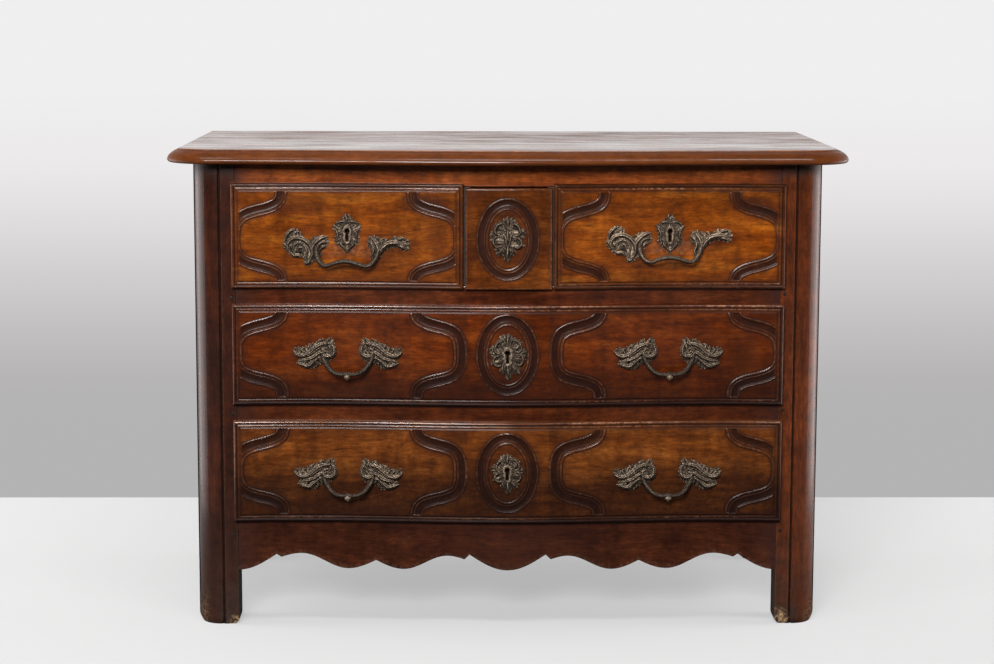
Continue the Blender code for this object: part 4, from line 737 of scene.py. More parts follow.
wide_oak = oak("oak_x", OAK_TONES, GRAIN_ALONG_X, OAK_SHIFT)
deep_oak = oak("oak_y", OAK_TONES, GRAIN_ALONG_Y, OAK_SHIFT)
for name in ("back_board_lower", "back_board_upper"):
    board = eased_board(*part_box(name), 0, BOARD_ARRIS)
    make_piece("planed_" + name, board, wide_oak, "carcass", [name])
dress(["dust_board_upper", "dust_board_lower", "bottom_board"], wide_oak)
stained_oak = oak("oak_stained", OAK_STAINED, GRAIN_ALONG_Y, (0.9, 0.1, 0.3))
dress(["partition_left", "partition_right"], stained_oak)

# Drawer boxes and locks
# Oak sides lapped into the front and back with dovetails, a bottom in grooves, and iron locks let in behind.

DRAWERS = ("drawer_top_left", "drawer_top_right", "drawer_middle", "drawer_lower")
IRON_SCALE = (0.055, 0.052, 0.050, 1.0)
IRON_RUST = (0.085, 0.036, 0.018, 1.0)
for name in DRAWERS:
    dress([name + "_side_left", name + "_side_right"], deep_oak)
    dress([name + "_back", name + "_bottom"], wide_oak)
dress(["secret_tray"], deep_oak)


def rusted_iron():
    """Forged iron: nearly black scale with brown rust in patches, rougher where it has rusted."""
    material, tree, shader, place = new_material("rusted_iron")
    patch = noise(tree, place, 90.0, 5.0)
    rust = ranged(tree, patch, 0.48, 0.62)
    colour = mixed(tree, rust, IRON_SCALE, IRON_RUST)
    join_shader(tree, shader, colour, scaled(tree, rust, 0.35, 0.42), patch, 0.4, 0.0006)
    tree.links.new(scaled(tree, rust, -0.75, 0.9), shader.inputs["Metallic"])
    return material


dress(["lock_top_left", "lock_top_right", "lock_middle", "lock_lower"], rusted_iron())

# Drawer fronts
# Solid walnut, lipped over the frame and bowed with it. The face is carved: a bead and groove round the edge,
# ogee bands that draw the cartouches, and oval rings in the middle, each band two hollows and a fillet.

MM = 0.001
FIT = 0.0003
LIP = 0.006
LIP_THICKNESS = 0.014
LIP_BACK_Y = FRONT_Y - FIT
FACE_Y = LIP_BACK_Y - LIP_THICKNESS
BODY_BACK_Y = FRONT_Y + 0.018
SIDE_PLAY = 0.0018
PARTITION_LIP = 0.00825
SECRET_INSET = 0.0100
SECRET_HEAD = 0.0005
BORDER = 0.0145
CARVED_EDGE = 0.019
OGEE_REACH = 0.093
OGEE_SPAN = 0.112
OGEE_WAIST_REACH = 0.054
OGEE_WAIST_RISE = 0.625
OGEE_APEX = 0.0112
OGEE_APEX_AT_BORDER = 0.0060
SPANDREL_REACH = 0.070
LONG_BAND = 1.12
BAND_SEARCH = 0.05
OVAL_X = -0.0015
OVAL_HALF_WIDTH = 0.0470
OVAL_HALF_HEIGHT = 0.0655
OVAL_RIM = 0.012
KEYHOLE_RADIUS = 0.0046
KEYHOLE_DROP = 0.0190
KEYHOLE_HALF_SLOT = 0.0029
KEYHOLE_DEPTH = 0.0120
KEYHOLE_SPAN = 0.006
EDGE_LOW, EDGE_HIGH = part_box("drawer_top_right_front")
CARTOUCHE_IN = EDGE_LOW.x
CARTOUCHE_OUT = EDGE_HIGH.x
CARTOUCHE_X = (CARTOUCHE_IN + CARTOUCHE_OUT) / 2
# Section of a carved band across its middle line, from the spandrel to the field: distance, height
BAND = MM * np.array(
    [
        (-11.8, 0.0), (-11.0, -0.45), (-10.3, 0.35), (-9.5, 1.00), (-8.8, 0.70), (-8.2, -0.40), (-7.5, -1.15),
        (-6.2, -1.50), (-4.0, -1.65), (-1.5, -1.70), (0.6, -1.60), (2.2, -1.40), (3.2, -1.00), (3.8, -0.70),
        (4.4, -1.05), (5.4, -1.90), (6.4, -1.40), (7.4, 0.0), (8.1, 0.80), (8.9, 1.00), (9.7, 0.60),
        (10.5, -0.20), (11.0, -0.45), (11.8, 0.0),
    ]
)
# Section of the border, from the rim of the lip to the field: distance from the rim, height
BORDER_SECTION = MM * np.array(
    [
        (0.0, -3.60), (0.4, -2.30), (1.0, -1.25), (1.9, -0.50), (2.9, -0.10), (3.8, 0.0), (4.8, -0.15),
        (5.7, -0.70), (6.3, -1.60), (6.7, -2.10), (7.1, -1.70), (7.6, -1.00), (8.3, -0.60), (9.2, -0.45),
        (10.2, -0.55), (10.9, -0.80), (11.5, -1.05), (12.0, -1.10), (12.6, -0.95), (13.2, -0.55),
        (13.9, -0.15), (14.6, 0.0), (15.2, 0.0),
    ]
)
PLAIN_EDGE = MM * np.array([(0.0, -2.60), (0.4, -1.60), (1.0, -0.85), (1.8, -0.30), (2.8, 0.0)])
# Soft lines along a band by the distance across it, and round a border: place, width, strength. The bead
# lines are rubbed colour that also paints glints
DARK_LINES = ((0.0056, 0.0010, 0.90), (-0.0079, 0.0009, 0.70))
DARK_RIM = ((0.0113, 0.0012, 0.85),)
BEAD_RUBBED_GLINTS = ((-0.0095, 0.0010, 0.80), (0.0087, 0.0010, 1.00), (0.0038, 0.0008, 0.55))
BORDER_QUIRK = (0.0067, 0.0012)
FIELD_QUIRK = (0.0130, 0.0016, 0.50)
OUTER_BEAD = (0.0020, 0.0015)
INNER_BEAD = (0.0089, 0.0013)
PLAIN_RUB = (0.0018, 0.0012, 0.30)


def spaced(low, high, fine_spans, fine, coarse):
    """Places from low to high, close together inside the fine spans and wide apart elsewhere."""
    x = np.linspace(low, high, 6000)
    inside = np.zeros(len(x), bool)
    for start, end in fine_spans:
        inside |= (x > start) & (x < end)
    density = np.where(inside, 1 / fine, 1 / coarse)
    total = np.concatenate([[0], np.cumsum((density[1:] + density[:-1]) / 2 * np.diff(x))])
    count = int(np.ceil(total[-1]))
    return np.interp(np.linspace(0, total[-1], count + 1), total, x)


def ogee_line(edge_x, toward, middle_z, rise, apex):
    """Middle line of one carved ogee, from the upper border round to the lower one, as four cubic spans."""
    top = OGEE_REACH
    waist = OGEE_WAIST_REACH
    level = OGEE_WAIST_RISE
    upper = [
        [(top, 1.0), (top - 0.001, 0.83), (waist + 0.035, level + 0.098), (waist, level)],
        [(waist, level), (waist - 0.035, level - 0.098), (apex, 0.43), (apex, 0.0)],
    ]
    lower = [[(u, -v) for u, v in reversed(span)] for span in reversed(upper)]
    spans = np.array(upper + lower)
    t = np.linspace(0, 1, 120)[None, :, None]
    weights = (1 - t) ** 3, 3 * t * (1 - t) ** 2, 3 * t**2 * (1 - t), t**3
    line = sum(weight * spans[:, None, k] for k, weight in enumerate(weights)).reshape(-1, 2)
    return np.stack([edge_x + toward * line[:, 0], middle_z + rise * line[:, 1]], 1)


def distance_to(line, x, z):
    """Shortest distance from every point of a grid to a line of points."""
    flat = np.stack([x.ravel(), z.ravel()], 1).astype(np.float32)
    line = line.astype(np.float32)
    found = []
    for block in np.array_split(flat, max(1, len(flat) // 4000)):
        apart = block[:, None] - line[None]
        found.append(np.sqrt((apart**2).sum(2).min(1)))
    return np.concatenate(found).reshape(x.shape)


def stripe(distance, place, width, strength=1.0):
    """A soft line where a distance comes near to a place."""
    return strength * np.exp(-(((distance - place) / width) ** 2))


def stripes(distance, lines):
    """Several soft lines of (place, width, strength) together."""
    return sum(stripe(distance, *line) for line in lines)


def soft_spots(x, z, spots):
    """Soft ellipses of (x, z, half width, half height, strength) that fade out from the middle."""
    found = np.zeros_like(x)
    for middle_x, middle_z, wide, tall, strength in spots:
        away = np.hypot((x - middle_x) / wide, (z - middle_z) / tall)
        found = np.maximum(found, strength * np.exp(-((away / 1.15) ** 2)))
    return found


def carved_lines(lip, x, z, ogees, lift, oval):
    """Distance across the nearest carved line, positive on its field's side, and how far inside the oval."""
    middle_z = (lip[2] + lip[3]) / 2
    across = np.full_like(x, 1.0)
    within = np.zeros_like(x)
    drawn = []
    for edge_x, toward in ogees:
        at_border = min(abs(edge_x - lip[0]), abs(edge_x - lip[1])) < BORDER
        apex = OGEE_APEX_AT_BORDER if at_border else OGEE_APEX
        rise = (lip[3] - lip[2]) / 2 - BORDER
        drawn.append((toward, ogee_line(edge_x, toward, middle_z + lift, rise, apex)))
    if oval:
        turn = np.linspace(0, 2 * np.pi, 900)
        ring = np.stack([OVAL_HALF_WIDTH * np.cos(turn), OVAL_HALF_HEIGHT * np.sin(turn)], 1)
        drawn.append((0, np.array(oval) + ring))
    for toward, line in drawn:
        near = (x[0] > line[:, 0].min() - BAND_SEARCH) & (x[0] < line[:, 0].max() + BAND_SEARCH)
        near_x = x[:, near]
        near_z = z[:, near]
        found = distance_to(line, near_x, near_z)
        if toward:
            found = found / (LONG_BAND if oval else 1.0)
            field = toward * near_x > np.interp(near_z, line[::-1, 1], toward * line[::-1, 0])
        else:
            field = np.hypot((near_x - oval[0]) / OVAL_HALF_WIDTH, (near_z - oval[1]) / OVAL_HALF_HEIGHT) < 1
        found = np.where(field, found, -found)
        kept = across[:, near]
        across[:, near] = np.where(np.abs(found) < np.abs(kept), found, kept)
        if not toward:
            within[:, near] = np.clip(found / 0.03, 0, 1)
    return across, within


PLANE_MARKS = 0.00012
# Dark wax in a band: strength, middle and half width by the distance across it
BAND_WAX = (0.74, -0.0022, 0.0054)
# Old polish that ends sharply: strength, reach; and that fades beyond a reach: strength, reach, fade
BAND_POLISH = (0.80, 0.0118)
BORDER_POLISH = (0.70, 0.0136)
BAND_FADE = (0.60, 0.0112, 0.006)
BORDER_FADE = (0.60, 0.0140, 0.007)
PLAIN_FADE = (0.45, 0.0, 0.020)


def sharp_polish(distance, strength, reach):
    """Old polish up to a reach, with an edge of a millimetre."""
    return strength * np.clip((reach - distance) / MM, 0, 1)


def faded_polish(distance, strength, reach, fade):
    """Old polish that falls off as exp(-(distance - reach) / fade) beyond its reach."""
    return strength * np.exp(-np.clip(distance - reach, 0, None) / fade)


def carved_face(lip, xs, zs, ogees, lift, oval, border, keyhole, painted_foot_shade, soil_and_shadow, worn):
    """Height of the face over a grid, and where it is hollow, rubbed or grimed.

    Height is the rounded edge by the distance from the rim, plus the band's section by the distance across
    each carved line, plus a faint unevenness left by the plane. A border's beads are rubbed side by side, and
    the marks carry painted light: highlights on beads that face up, shade on beads that face down and towards
    the foot, and shadow round the handles.
    """
    x, z = np.meshgrid(xs, zs)
    sides = np.stack([x - lip[0], lip[1] - x, z - lip[2], lip[3] - z])
    rim = sides.min(0)
    tall = lip[3] - lip[2]
    middle_z = (lip[2] + lip[3]) / 2
    section = BORDER_SECTION if border else PLAIN_EDGE
    height = np.interp(rim, section[:, 0], section[:, 1])
    inside = np.clip((rim - BORDER - 0.0004) / 0.0012, 0, 1) if border else np.ones_like(x)
    across, within = carved_lines(lip, x, z, ogees, lift, oval)
    height += inside * np.interp(across, BAND[:, 0], BAND[:, 1])
    planed = np.sin(41 * x + 17 * z) + np.sin(23 * x - 60 * z + 1.3) + np.sin(90 * x + 1.7 * np.sin(35 * z))
    height += PLANE_MARKS * planed
    aside = np.abs(across)
    hollow = stripes(across, DARK_LINES) + stripes(aside, DARK_RIM)
    wax, wax_middle, wax_half = BAND_WAX
    hollow = inside * np.clip(np.maximum(hollow, wax * (np.abs(across - wax_middle) < wax_half)), 0, 1)
    # Painted glints with wear: pale rubbed colour along the band's beads, broken along their length
    handled = 0.5 + 0.5 * np.sin(55 * x + 31 * z) * np.sin(47 * z - 29 * x + 1)
    rubbed = inside * (0.10 + 0.45 * handled) * stripes(across, BEAD_RUBBED_GLINTS)
    grime = inside * sharp_polish(aside, *BAND_POLISH)
    grime = np.maximum(grime, faded_polish(aside, *BAND_FADE))
    if border:
        # Painted light on the border: the bead shares of each side paint highlights where a bead faces up,
        # and a low outer share paints the outer bead dark, as shade where it faces down and as the top's
        # shadow along the head
        outer, inner = np.array(border)[:, sides.argmin(0)]
        hollow = np.maximum(hollow, np.maximum(stripe(rim, *BORDER_QUIRK), stripe(rim, *FIELD_QUIRK)))
        hollow = np.maximum(hollow, np.clip(0.75 - 1.5 * outer, 0, 1) * (rim < 0.0062))
        lines = outer * stripe(rim, *OUTER_BEAD) + inner * stripe(rim, *INNER_BEAD)
        rubbed = np.maximum(rubbed, lines * (0.55 + 0.45 * np.sin(17 * x + 11 * z)))
        grime = np.maximum(grime, sharp_polish(rim, *BORDER_POLISH))
        grime = np.maximum(grime, faded_polish(rim, *BORDER_FADE))
    else:
        rubbed = np.maximum(rubbed, stripe(rim, *PLAIN_RUB))
        grime = np.maximum(grime, faded_polish(rim, *PLAIN_FADE))
    corner = np.zeros_like(x)
    lean = np.clip(np.abs(z - middle_z) / (tall / 2) - 0.35, 0, 1)
    for edge_x, toward in ogees:
        from_end = toward * (x - edge_x)
        near_end = np.clip(1 - from_end / SPANDREL_REACH, 0, 1) * (from_end > 0)
        corner = np.maximum(corner, near_end * lean * 1.1)
    # Painted shade: each front grows darker towards its foot, as under light from above; it goes into the
    # hollow mark, dims the rubbed lines and deepens the lower spandrels
    start, fade, share = painted_foot_shade
    foot = np.clip((start - (z - lip[2]) / tall) / fade, 0, 1)
    foot = share * foot**2 * (3 - 2 * foot)
    hollow = np.clip(np.maximum(hollow, foot) + 0.35 * np.minimum(hollow, foot), 0, 1)
    rubbed = rubbed * (1 - 0.6 * foot)
    spandrel = np.where(z < middle_z, np.maximum(share, 0.40), 0.42)
    hollow = np.maximum(hollow, np.clip(1.3 * corner, 0, 1) * spandrel)
    # Soft spots of soil and old polish, which round the handles also paint their shadow
    soil_and_shadow_spots = soft_spots(x, z, soil_and_shadow)
    hollow = np.clip(np.maximum(hollow, 0.50 * soil_and_shadow_spots), 0, 1)
    grime = np.maximum(np.maximum(grime, corner), 0.8 * soil_and_shadow_spots)
    grime = np.clip(np.maximum(grime, 0.60 * np.clip(1.6 * within, 0, 1)), 0, 1)
    rubbed = np.clip(np.maximum(rubbed, soft_spots(x, z, worn)), 0, 1)
    if keyhole:
        below = keyhole[1] - z
        slot = (np.abs(x - keyhole[0]) < KEYHOLE_HALF_SLOT) & (below > 0) & (below < KEYHOLE_DROP)
        hole = slot | (np.hypot(x - keyhole[0], below) < KEYHOLE_RADIUS)
        height = np.where(hole, -KEYHOLE_DEPTH, height)
        hollow = np.where(hole, 1.0, hollow)
        rubbed = np.where(hole, 0.0, rubbed)
    return height, {"hollow": hollow, "rubbed": rubbed, "grime": grime}


def grid_faces(index):
    """Four-sided faces of a grid of point numbers."""
    corners = [index[:-1, :-1], index[:-1, 1:], index[1:, 1:], index[1:, :-1]]
    return np.stack(corners, -1).reshape(-1, 4).tolist()


def bowed_front(lip, body, xs, zs, height, marks):
    """A closed board: the carved grid, the lip's edge, the shoulder behind it, and the body's plain back."""
    rows, columns = height.shape
    x, z = np.meshgrid(xs, zs)
    face = np.stack([x, FACE_Y - height - wave(x), z], -1).reshape(-1, 3)
    index = np.arange(rows * columns).reshape(rows, columns)
    loop = np.concatenate([index[0, :-1], index[:-1, -1], index[-1, :0:-1], index[:0:-1, 0]])
    rim = face[loop]
    lip_back = np.stack([rim[:, 0], LIP_BACK_Y - wave(rim[:, 0]), rim[:, 2]], 1)
    body_x = body[0] + (rim[:, 0] - lip[0]) / (lip[1] - lip[0]) * (body[1] - body[0])
    body_z = body[2] + (rim[:, 2] - lip[2]) / (lip[3] - lip[2]) * (body[3] - body[2])
    shoulder = np.stack([body_x, LIP_BACK_Y - wave(body_x), body_z], 1)
    end = np.stack([body_x, np.full_like(body_x, BODY_BACK_Y), body_z], 1)
    count = len(loop)
    ring_index = np.concatenate([loop, rows * columns + np.arange(3 * count)]).reshape(4, count)
    last = ring_index[-1]
    low = last[:columns]
    right = last[columns - 1 : columns + rows - 1]
    high = last[columns + rows - 2 : 2 * columns + rows - 2][::-1]
    left = np.concatenate([last[2 * columns + rows - 3 :], last[:1]])
    strips = np.stack([low[1:-2], low[2:-1], high[2:-1], high[1:-2]], -1).tolist()
    first_end = left.tolist() + [int(low[1]), int(high[1])]
    last_end = right.tolist() + [int(high[-2]), int(low[-2])]
    points = np.concatenate([face, lip_back, shoulder, end])
    faces = grid_faces(index) + ring_faces(ring_index) + strips + [first_end, last_end]
    spread = {key: np.concatenate([values.ravel(), np.zeros(3 * count)]) for key, values in marks.items()}
    return (points, faces), spread


FRONT_AGED = (0.0580, 0.0165, 0.0070, 1.0)
# Rubbed colour of the fronts, which also paints the glints on the beads
FRONT_RUBBED_AND_GLINT = (0.320, 0.135, 0.064, 1.0)


def make_front(name, node, body, body_inset, carving, tones, shift):
    """A drawer front on its packed place: grid lines gather where it is carved."""
    low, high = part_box(node)
    lip = (low.x, high.x, low.z, high.z)
    spans = [(lip[0] - 1, lip[0] + CARVED_EDGE), (lip[1] - CARVED_EDGE, lip[1] + 1)]
    for edge_x, toward in carving["ogees"]:
        spans.append(tuple(sorted((edge_x, edge_x + toward * OGEE_SPAN))))
    for key, reach in (("oval", OVAL_HALF_WIDTH + OVAL_RIM), ("keyhole", KEYHOLE_SPAN)):
        if carving[key]:
            spans.append((carving[key][0] - reach, carving[key][0] + reach))
    edges = [(lip[2] - 1, lip[2] + CARVED_EDGE), (lip[3] - CARVED_EDGE, lip[3] + 1)]
    xs = spaced(lip[0], lip[1], spans, 0.0013, 0.0060)
    zs = spaced(lip[2], lip[3], edges, 0.0009, 0.0014)
    height, marks = carved_face(lip, xs, zs, **carving)
    inner = [edge + way * inset for edge, way, inset in zip(lip, (1, -1, 1, -1), body_inset)]
    shape, marks = bowed_front(lip, inner, xs, zs, height, marks)
    polish = walnut("walnut_" + name, tones, GRAIN_ALONG_X, shift, 0.10, FRONT_RUBBED_AND_GLINT, FRONT_AGED)
    make_piece(name, shape, polish, body, [node], marks, sharp=70)


TOP_ROW = ((0.105, 0.0200, 0.0016), (0.225, 0.0500, 0.0030), (0.400, 0.1180, 0.0100))
SECRET_ROW = ((0.055, 0.0115, 0.0020), (0.125, 0.0290, 0.0032), (0.210, 0.0580, 0.0080))
MIDDLE_ROW = ((0.050, 0.0085, 0.0012), (0.120, 0.0205, 0.0018), (0.215, 0.0470, 0.0050))
LOWER_ROW = ((0.062, 0.0135, 0.0025), (0.155, 0.0410, 0.0060), (0.280, 0.0850, 0.0150))
# How far the outer and the inner bead of the border are painted lighter, a highlight where they face up to
# the light, at the left, right, foot and head; a low outer share paints the outer bead in shade
TOP_BORDER_LIGHT = ((0.30, 0.20, 0.20, 0.10), (0.18, 0.18, 0.80, 1.00))
LONG_BORDER_LIGHT = ((0.30, 0.20, 0.02, 0.80), (0.18, 0.18, 0.70, 0.55))
TOP_LEVEL = middle_height("drawer_top_left_front")
# Darker places in the two short fronts: x, height over the middle, half width, half height, strength
TOP_SHADES = {
    -1: (
        (-0.400, 0.055, 0.050, 0.022, 0.50), (-0.215, -0.020, 0.050, 0.040, 0.45),
        (-0.135, 0.005, 0.024, 0.045, 0.50), (-0.462, 0.0, 0.026, 0.030, 0.35),
    ),
    1: ((0.215, 0.050, 0.050, 0.014, 0.35), (0.420, -0.045, 0.040, 0.018, 0.40)),
}
# Places soiled by hands and old polish round a top handle, from its middle; they also paint the handle's
# shadow beside and below it
TOP_SOIL_AND_SHADOW = (
    (-0.078, -0.014, 0.036, 0.028, 0.55), (0.0, 0.0, 0.022, 0.034, 0.55), (0.080, -0.010, 0.032, 0.016, 0.55),
    (0.010, -0.057, 0.060, 0.007, 0.6), (0.150, 0.062, 0.040, 0.016, 0.9),
)
TOP_WORN = (0.0, -0.022, 0.040, 0.016, 0.40)


def moved(spots, x, z):
    """The same soft places round another middle."""
    return [(x + spot[0], z + spot[1], *spot[2:]) for spot in spots]


for side, hand in HANDS:
    name = "drawer_top_" + hand
    low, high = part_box(name + "_front")
    ends = (LIP + SIDE_PLAY, PARTITION_LIP + SIDE_PLAY)[::-side]
    handle_x = side * CARTOUCHE_X
    carving = {
        "ogees": [(low.x, 1), (high.x, -1)],
        "lift": -0.004,
        "oval": None,
        "border": TOP_BORDER_LIGHT,
        "keyhole": (handle_x, TOP_LEVEL + 0.010),
        "painted_foot_shade": (0.40, 0.40, 0.28),
        "soil_and_shadow": moved(TOP_SOIL_AND_SHADOW, handle_x, TOP_LEVEL) + moved(TOP_SHADES[side], 0.0, TOP_LEVEL),
        "worn": moved([TOP_WORN], handle_x, TOP_LEVEL),
    }
    inset = (*ends, LIP + FIT, LIP + SIDE_PLAY)
    shift = (0.37 + 0.9 * side, 0.2, 0.41 * side)
    make_front("carved_front_top_" + hand, name + "_front", name, inset, carving, TOP_ROW, shift)
LONG_IN = CARTOUCHE_IN - 0.006
LONG_OGEES = [(-CARTOUCHE_OUT, 1), (-LONG_IN, -1), (LONG_IN, 1), (CARTOUCHE_OUT, -1)]
# Soil and painted shadow either side of each lower handle
LONG_SOIL_AND_SHADOW_X = (-CARTOUCHE_X - 0.062, -CARTOUCHE_X + 0.062, CARTOUCHE_X - 0.062, CARTOUCHE_X + 0.062)
LONG_SOIL_AND_SHADOW = tuple((x, 0.002, 0.034, 0.022, 0.6) for x in LONG_SOIL_AND_SHADOW_X)
LONG_SHADES = ((0.435, 0.0, 0.032, 0.050, 0.5), (-0.290, -0.074, 0.110, 0.020, 0.8))
# Each long front: tones, shift of the figure, lift of the ogees, lift of the oval, and painted shade towards
# the foot as start, fade and share
LONG_FRONTS = {
    "middle": (MIDDLE_ROW, (1.1, 0.4, 0.23), 0.005, 0.0025, (0.62, 0.50, 0.66)),
    "lower": (LOWER_ROW, (2.3, 0.9, 0.77), 0.002, 0.0, (0.80, 0.50, 0.80)),
}
for row, (tones, shift, lift, oval_lift, painted_foot_shade) in LONG_FRONTS.items():
    name = "drawer_" + row
    level = middle_height(name + "_front")
    carving = {
        "ogees": LONG_OGEES,
        "lift": lift,
        "oval": (OVAL_X, level + oval_lift),
        "border": LONG_BORDER_LIGHT,
        "keyhole": (OVAL_X, level + 0.007),
        "painted_foot_shade": painted_foot_shade,
        "soil_and_shadow": moved(LONG_SOIL_AND_SHADOW + LONG_SHADES, 0.0, level),
        "worn": [],
    }
    inset = (LIP + SIDE_PLAY, LIP + SIDE_PLAY, LIP + FIT, LIP + SIDE_PLAY)
    make_front("carved_front_" + row, name + "_front", name, inset, carving, tones, shift)
carving = {
    "ogees": [],
    "lift": 0.0,
    "oval": (OVAL_X, TOP_LEVEL - 0.0045),
    "border": None,
    "keyhole": None,
    "painted_foot_shade": (0.0, 1.0, 0.0),
    "soil_and_shadow": [],
    "worn": [],
}
inset = (SECRET_INSET, SECRET_INSET, LIP + FIT, SECRET_HEAD)
shift = (3.1, 0.3, 0.15)
make_front("carved_front_secret", "secret_front", "drawer_secret", inset, carving, SECRET_ROW, shift)

# Bronze handles
# Each is one casting, chased and once gilt, held by two studs through the front. The top pair are uneven: a
# shell, a long tail leaf and a wavy bail. The lower four have matching acanthus fans and a knop.

BRONZE_DARK = (0.010, 0.0065, 0.0042)
BRONZE_BROWN = (0.070, 0.045, 0.028)
BRONZE_PALE = (0.400, 0.300, 0.205)
TARNISH = (0.040, 0.025, 0.016, 1.0)


def aged_bronze(name, light):
    """Old bronze: brown-black in the hollows of the casting, pale and rubbed on whatever stands out, and
    paler on the upper sides of bails and scrolls as a painted highlight.
    """
    material, tree, shader, place = new_material(name)
    raised = add_node(tree, "ShaderNodeAttribute", {"attribute_name": "raised"}, {}).outputs["Fac"]
    cast = noise(tree, place, 380.0, 3.0)
    cut = sums(tree, "ABSOLUTE", sums(tree, "SUBTRACT", noise(tree, place, 190.0, 2.0), 0.5))
    cut = ranged(tree, cut, 0.0, 0.06)
    tarnish = noise(tree, place, 70.0, 4.0)
    chased = scaled(tree, cut, 0.22, scaled(tree, cast, 0.60))
    lifted = sums(tree, "ADD", chased, scaled(tree, raised, 0.80, -0.42))
    pale = [light * tone for tone in BRONZE_PALE]
    brown = [light * tone for tone in BRONZE_BROWN]
    shown = ramped(tree, lifted, ((0.10, BRONZE_DARK), (0.80, pale), (0.42, brown)))
    shown = mixed(tree, scaled(tree, tarnish, 1.0, -0.30), shown, TARNISH)
    rough = scaled(tree, cast, 0.12, scaled(tree, raised, -0.15, 0.45))
    join_shader(tree, shader, shown, rough, chased, 1.0, 0.0020)
    shader.inputs["Metallic"].default_value = 0.55
    return material


# The right top handle takes a paler copy of the same bronze
bronze = aged_bronze("aged_bronze", 1.0)
paler_bronze = aged_bronze("paler_bronze", 1.5)


def smooth_loop(knots, count):
    """A closed curve through knots: each span is the cubic whose slope at a knot is half its chord."""
    knots = np.asarray(knots, float)
    t = np.arange(count) * len(knots) / count
    i = t.astype(int)
    f = (t - i)[:, None]
    a, b, c, d = (knots[(i + k) % len(knots)] for k in (-1, 0, 1, 2))
    return 0.5 * (2 * b + (c - a) * f + (2 * a - 5 * b + 4 * c - d) * f**2 + (3 * b - a - 3 * c + d) * f**3)


def smooth_run(knots, count):
    """The same curve through an open run of knots, each end carried straight on."""
    knots = np.asarray(knots, float)
    knots = np.concatenate([2 * knots[:1] - knots[1:2], knots, 2 * knots[-1:] - knots[-2:-1]])
    t = np.linspace(0, len(knots) - 3 - 1e-9, count)
    i = t.astype(int)
    f = (t - i)[:, None]
    a, b, c, d = (knots[i + k] for k in (0, 1, 2, 3))
    return 0.5 * (2 * b + (c - a) * f + (2 * a - 5 * b + 4 * c - d) * f**2 + (3 * b - a - 3 * c + d) * f**3)


def swept_bar(knots, count, sides, flutes, depth, flat=1.0, worn=1.0):
    """A bar along knots of (x, z, standing out, radius): rings square to the run, with flutes along it.

    A ring point is the centre plus radius * (1 + depth * cos(flutes * angle)) along the angle, and flat
    squeezes the ring towards the face behind it.
    """
    run = smooth_run(knots, count)
    centre = np.stack([run[:, 0], -run[:, 2], run[:, 1]], 1)
    along = np.gradient(centre, axis=0)
    along /= np.linalg.norm(along, axis=1, keepdims=True)
    across = np.cross(along, np.array([0.0, -1.0, 0.0]))
    across /= np.maximum(np.linalg.norm(across, axis=1, keepdims=True), 1e-6)
    up = np.cross(across, along)
    turn = 2 * np.pi * np.arange(sides) / sides
    wide = 1 + depth * np.cos(flutes * (turn - np.pi / 2))
    radius = np.maximum(run[:, 3], 0.0003)
    arm = np.cos(turn)[None, :, None] * across[:, None] + flat * np.sin(turn)[None, :, None] * up[:, None]
    rings = centre[:, None] + radius[:, None, None] * wide[None, :, None] * arm
    # Paler where the bar stands out, as rubbed, and on its upper side by the arm's height, as a painted
    # highlight from above
    lifted = 0.22 + 0.22 * np.sin(turn) + 2.0 * depth * np.cos(flutes * (turn - np.pi / 2))
    raised = np.clip(worn * (lifted + 0.26 * arm[..., 2]), 0, 1)
    return skin(rings), raised.ravel()


def ragged_edge(edge, foot, tips, tip):
    """An outline cut into pointed tips that lean away from a foot, with its lobes and its teeth as shares.

    A lobe is the reach from the foot less its running mean; a tooth climbs slowly and falls off fast.
    """
    count = len(edge)
    reach = np.linalg.norm(edge - foot, axis=1)
    window = np.hanning(count // 7 | 1)
    half = len(window) // 2
    mean = np.convolve(np.concatenate([reach[-half:], reach, reach[:half]]), window / window.sum(), "valid")
    lobe = (reach - mean) / np.abs(reach - mean).max()
    step = np.linalg.norm(np.roll(edge, -1, 0) - edge, axis=1)
    phase = tips * (np.cumsum(step) - step) / step.sum() % 1
    tooth = np.where(phase < 0.68, phase / 0.68, (1 - phase) / 0.32) ** 1.2
    edge = edge + tip * (tooth - 0.4)[:, None] * (edge - foot) / np.maximum(reach, 0.001)[:, None]
    return edge, lobe, tooth


def relief_leaf(outline, spine, count, levels, crown, flute, ridge, tips, tip):
    """A chased leaf: its outline, cut into pointed tips, drawn in towards a spine while it rises.

    Height is a rim, plus crown * sin of the share drawn in, plus flutes where the outline swells and sinks,
    plus two ridges that follow the outline and a vein that runs from every tip to the spine.
    """
    edge = smooth_loop(outline, count)
    start, end = np.asarray(spine, float)
    span = end - start
    share = np.clip((edge - start) @ span / (span @ span), 0, 1)[:, None]
    foot = start + share * span
    edge, lobe, tooth = ragged_edge(edge, foot, tips, tip)
    s = np.linspace(0, 0.97, levels)[:, None]
    plan = edge[None] * (1 - s)[..., None] + foot[None] * s[..., None]
    swell = np.sin(np.pi * np.clip(s, 0, 1) ** 0.8)
    veins = (tooth[None] - 0.5) * np.clip(1.25 - s, 0, 1)
    chased = flute * lobe[None] * swell + 1.6 * ridge * veins + ridge * np.cos(4 * np.pi * s) * (1 - s)
    out = 0.0012 + crown * np.sin(s * np.pi / 2) ** 0.8 + chased
    out = np.maximum(out, 0.0008)
    rings = np.stack([plan[..., 0], -out, plan[..., 1]], -1)
    flat = np.stack([edge[:, 0], np.zeros(count), edge[:, 1]], 1)
    raised = np.clip(0.40 + 0.42 * chased / (flute + ridge) + 0.15 * s, 0, 1)
    raised = np.concatenate([np.zeros((1, count)), raised])
    return skin(np.concatenate([flat[None], rings])), raised.ravel()


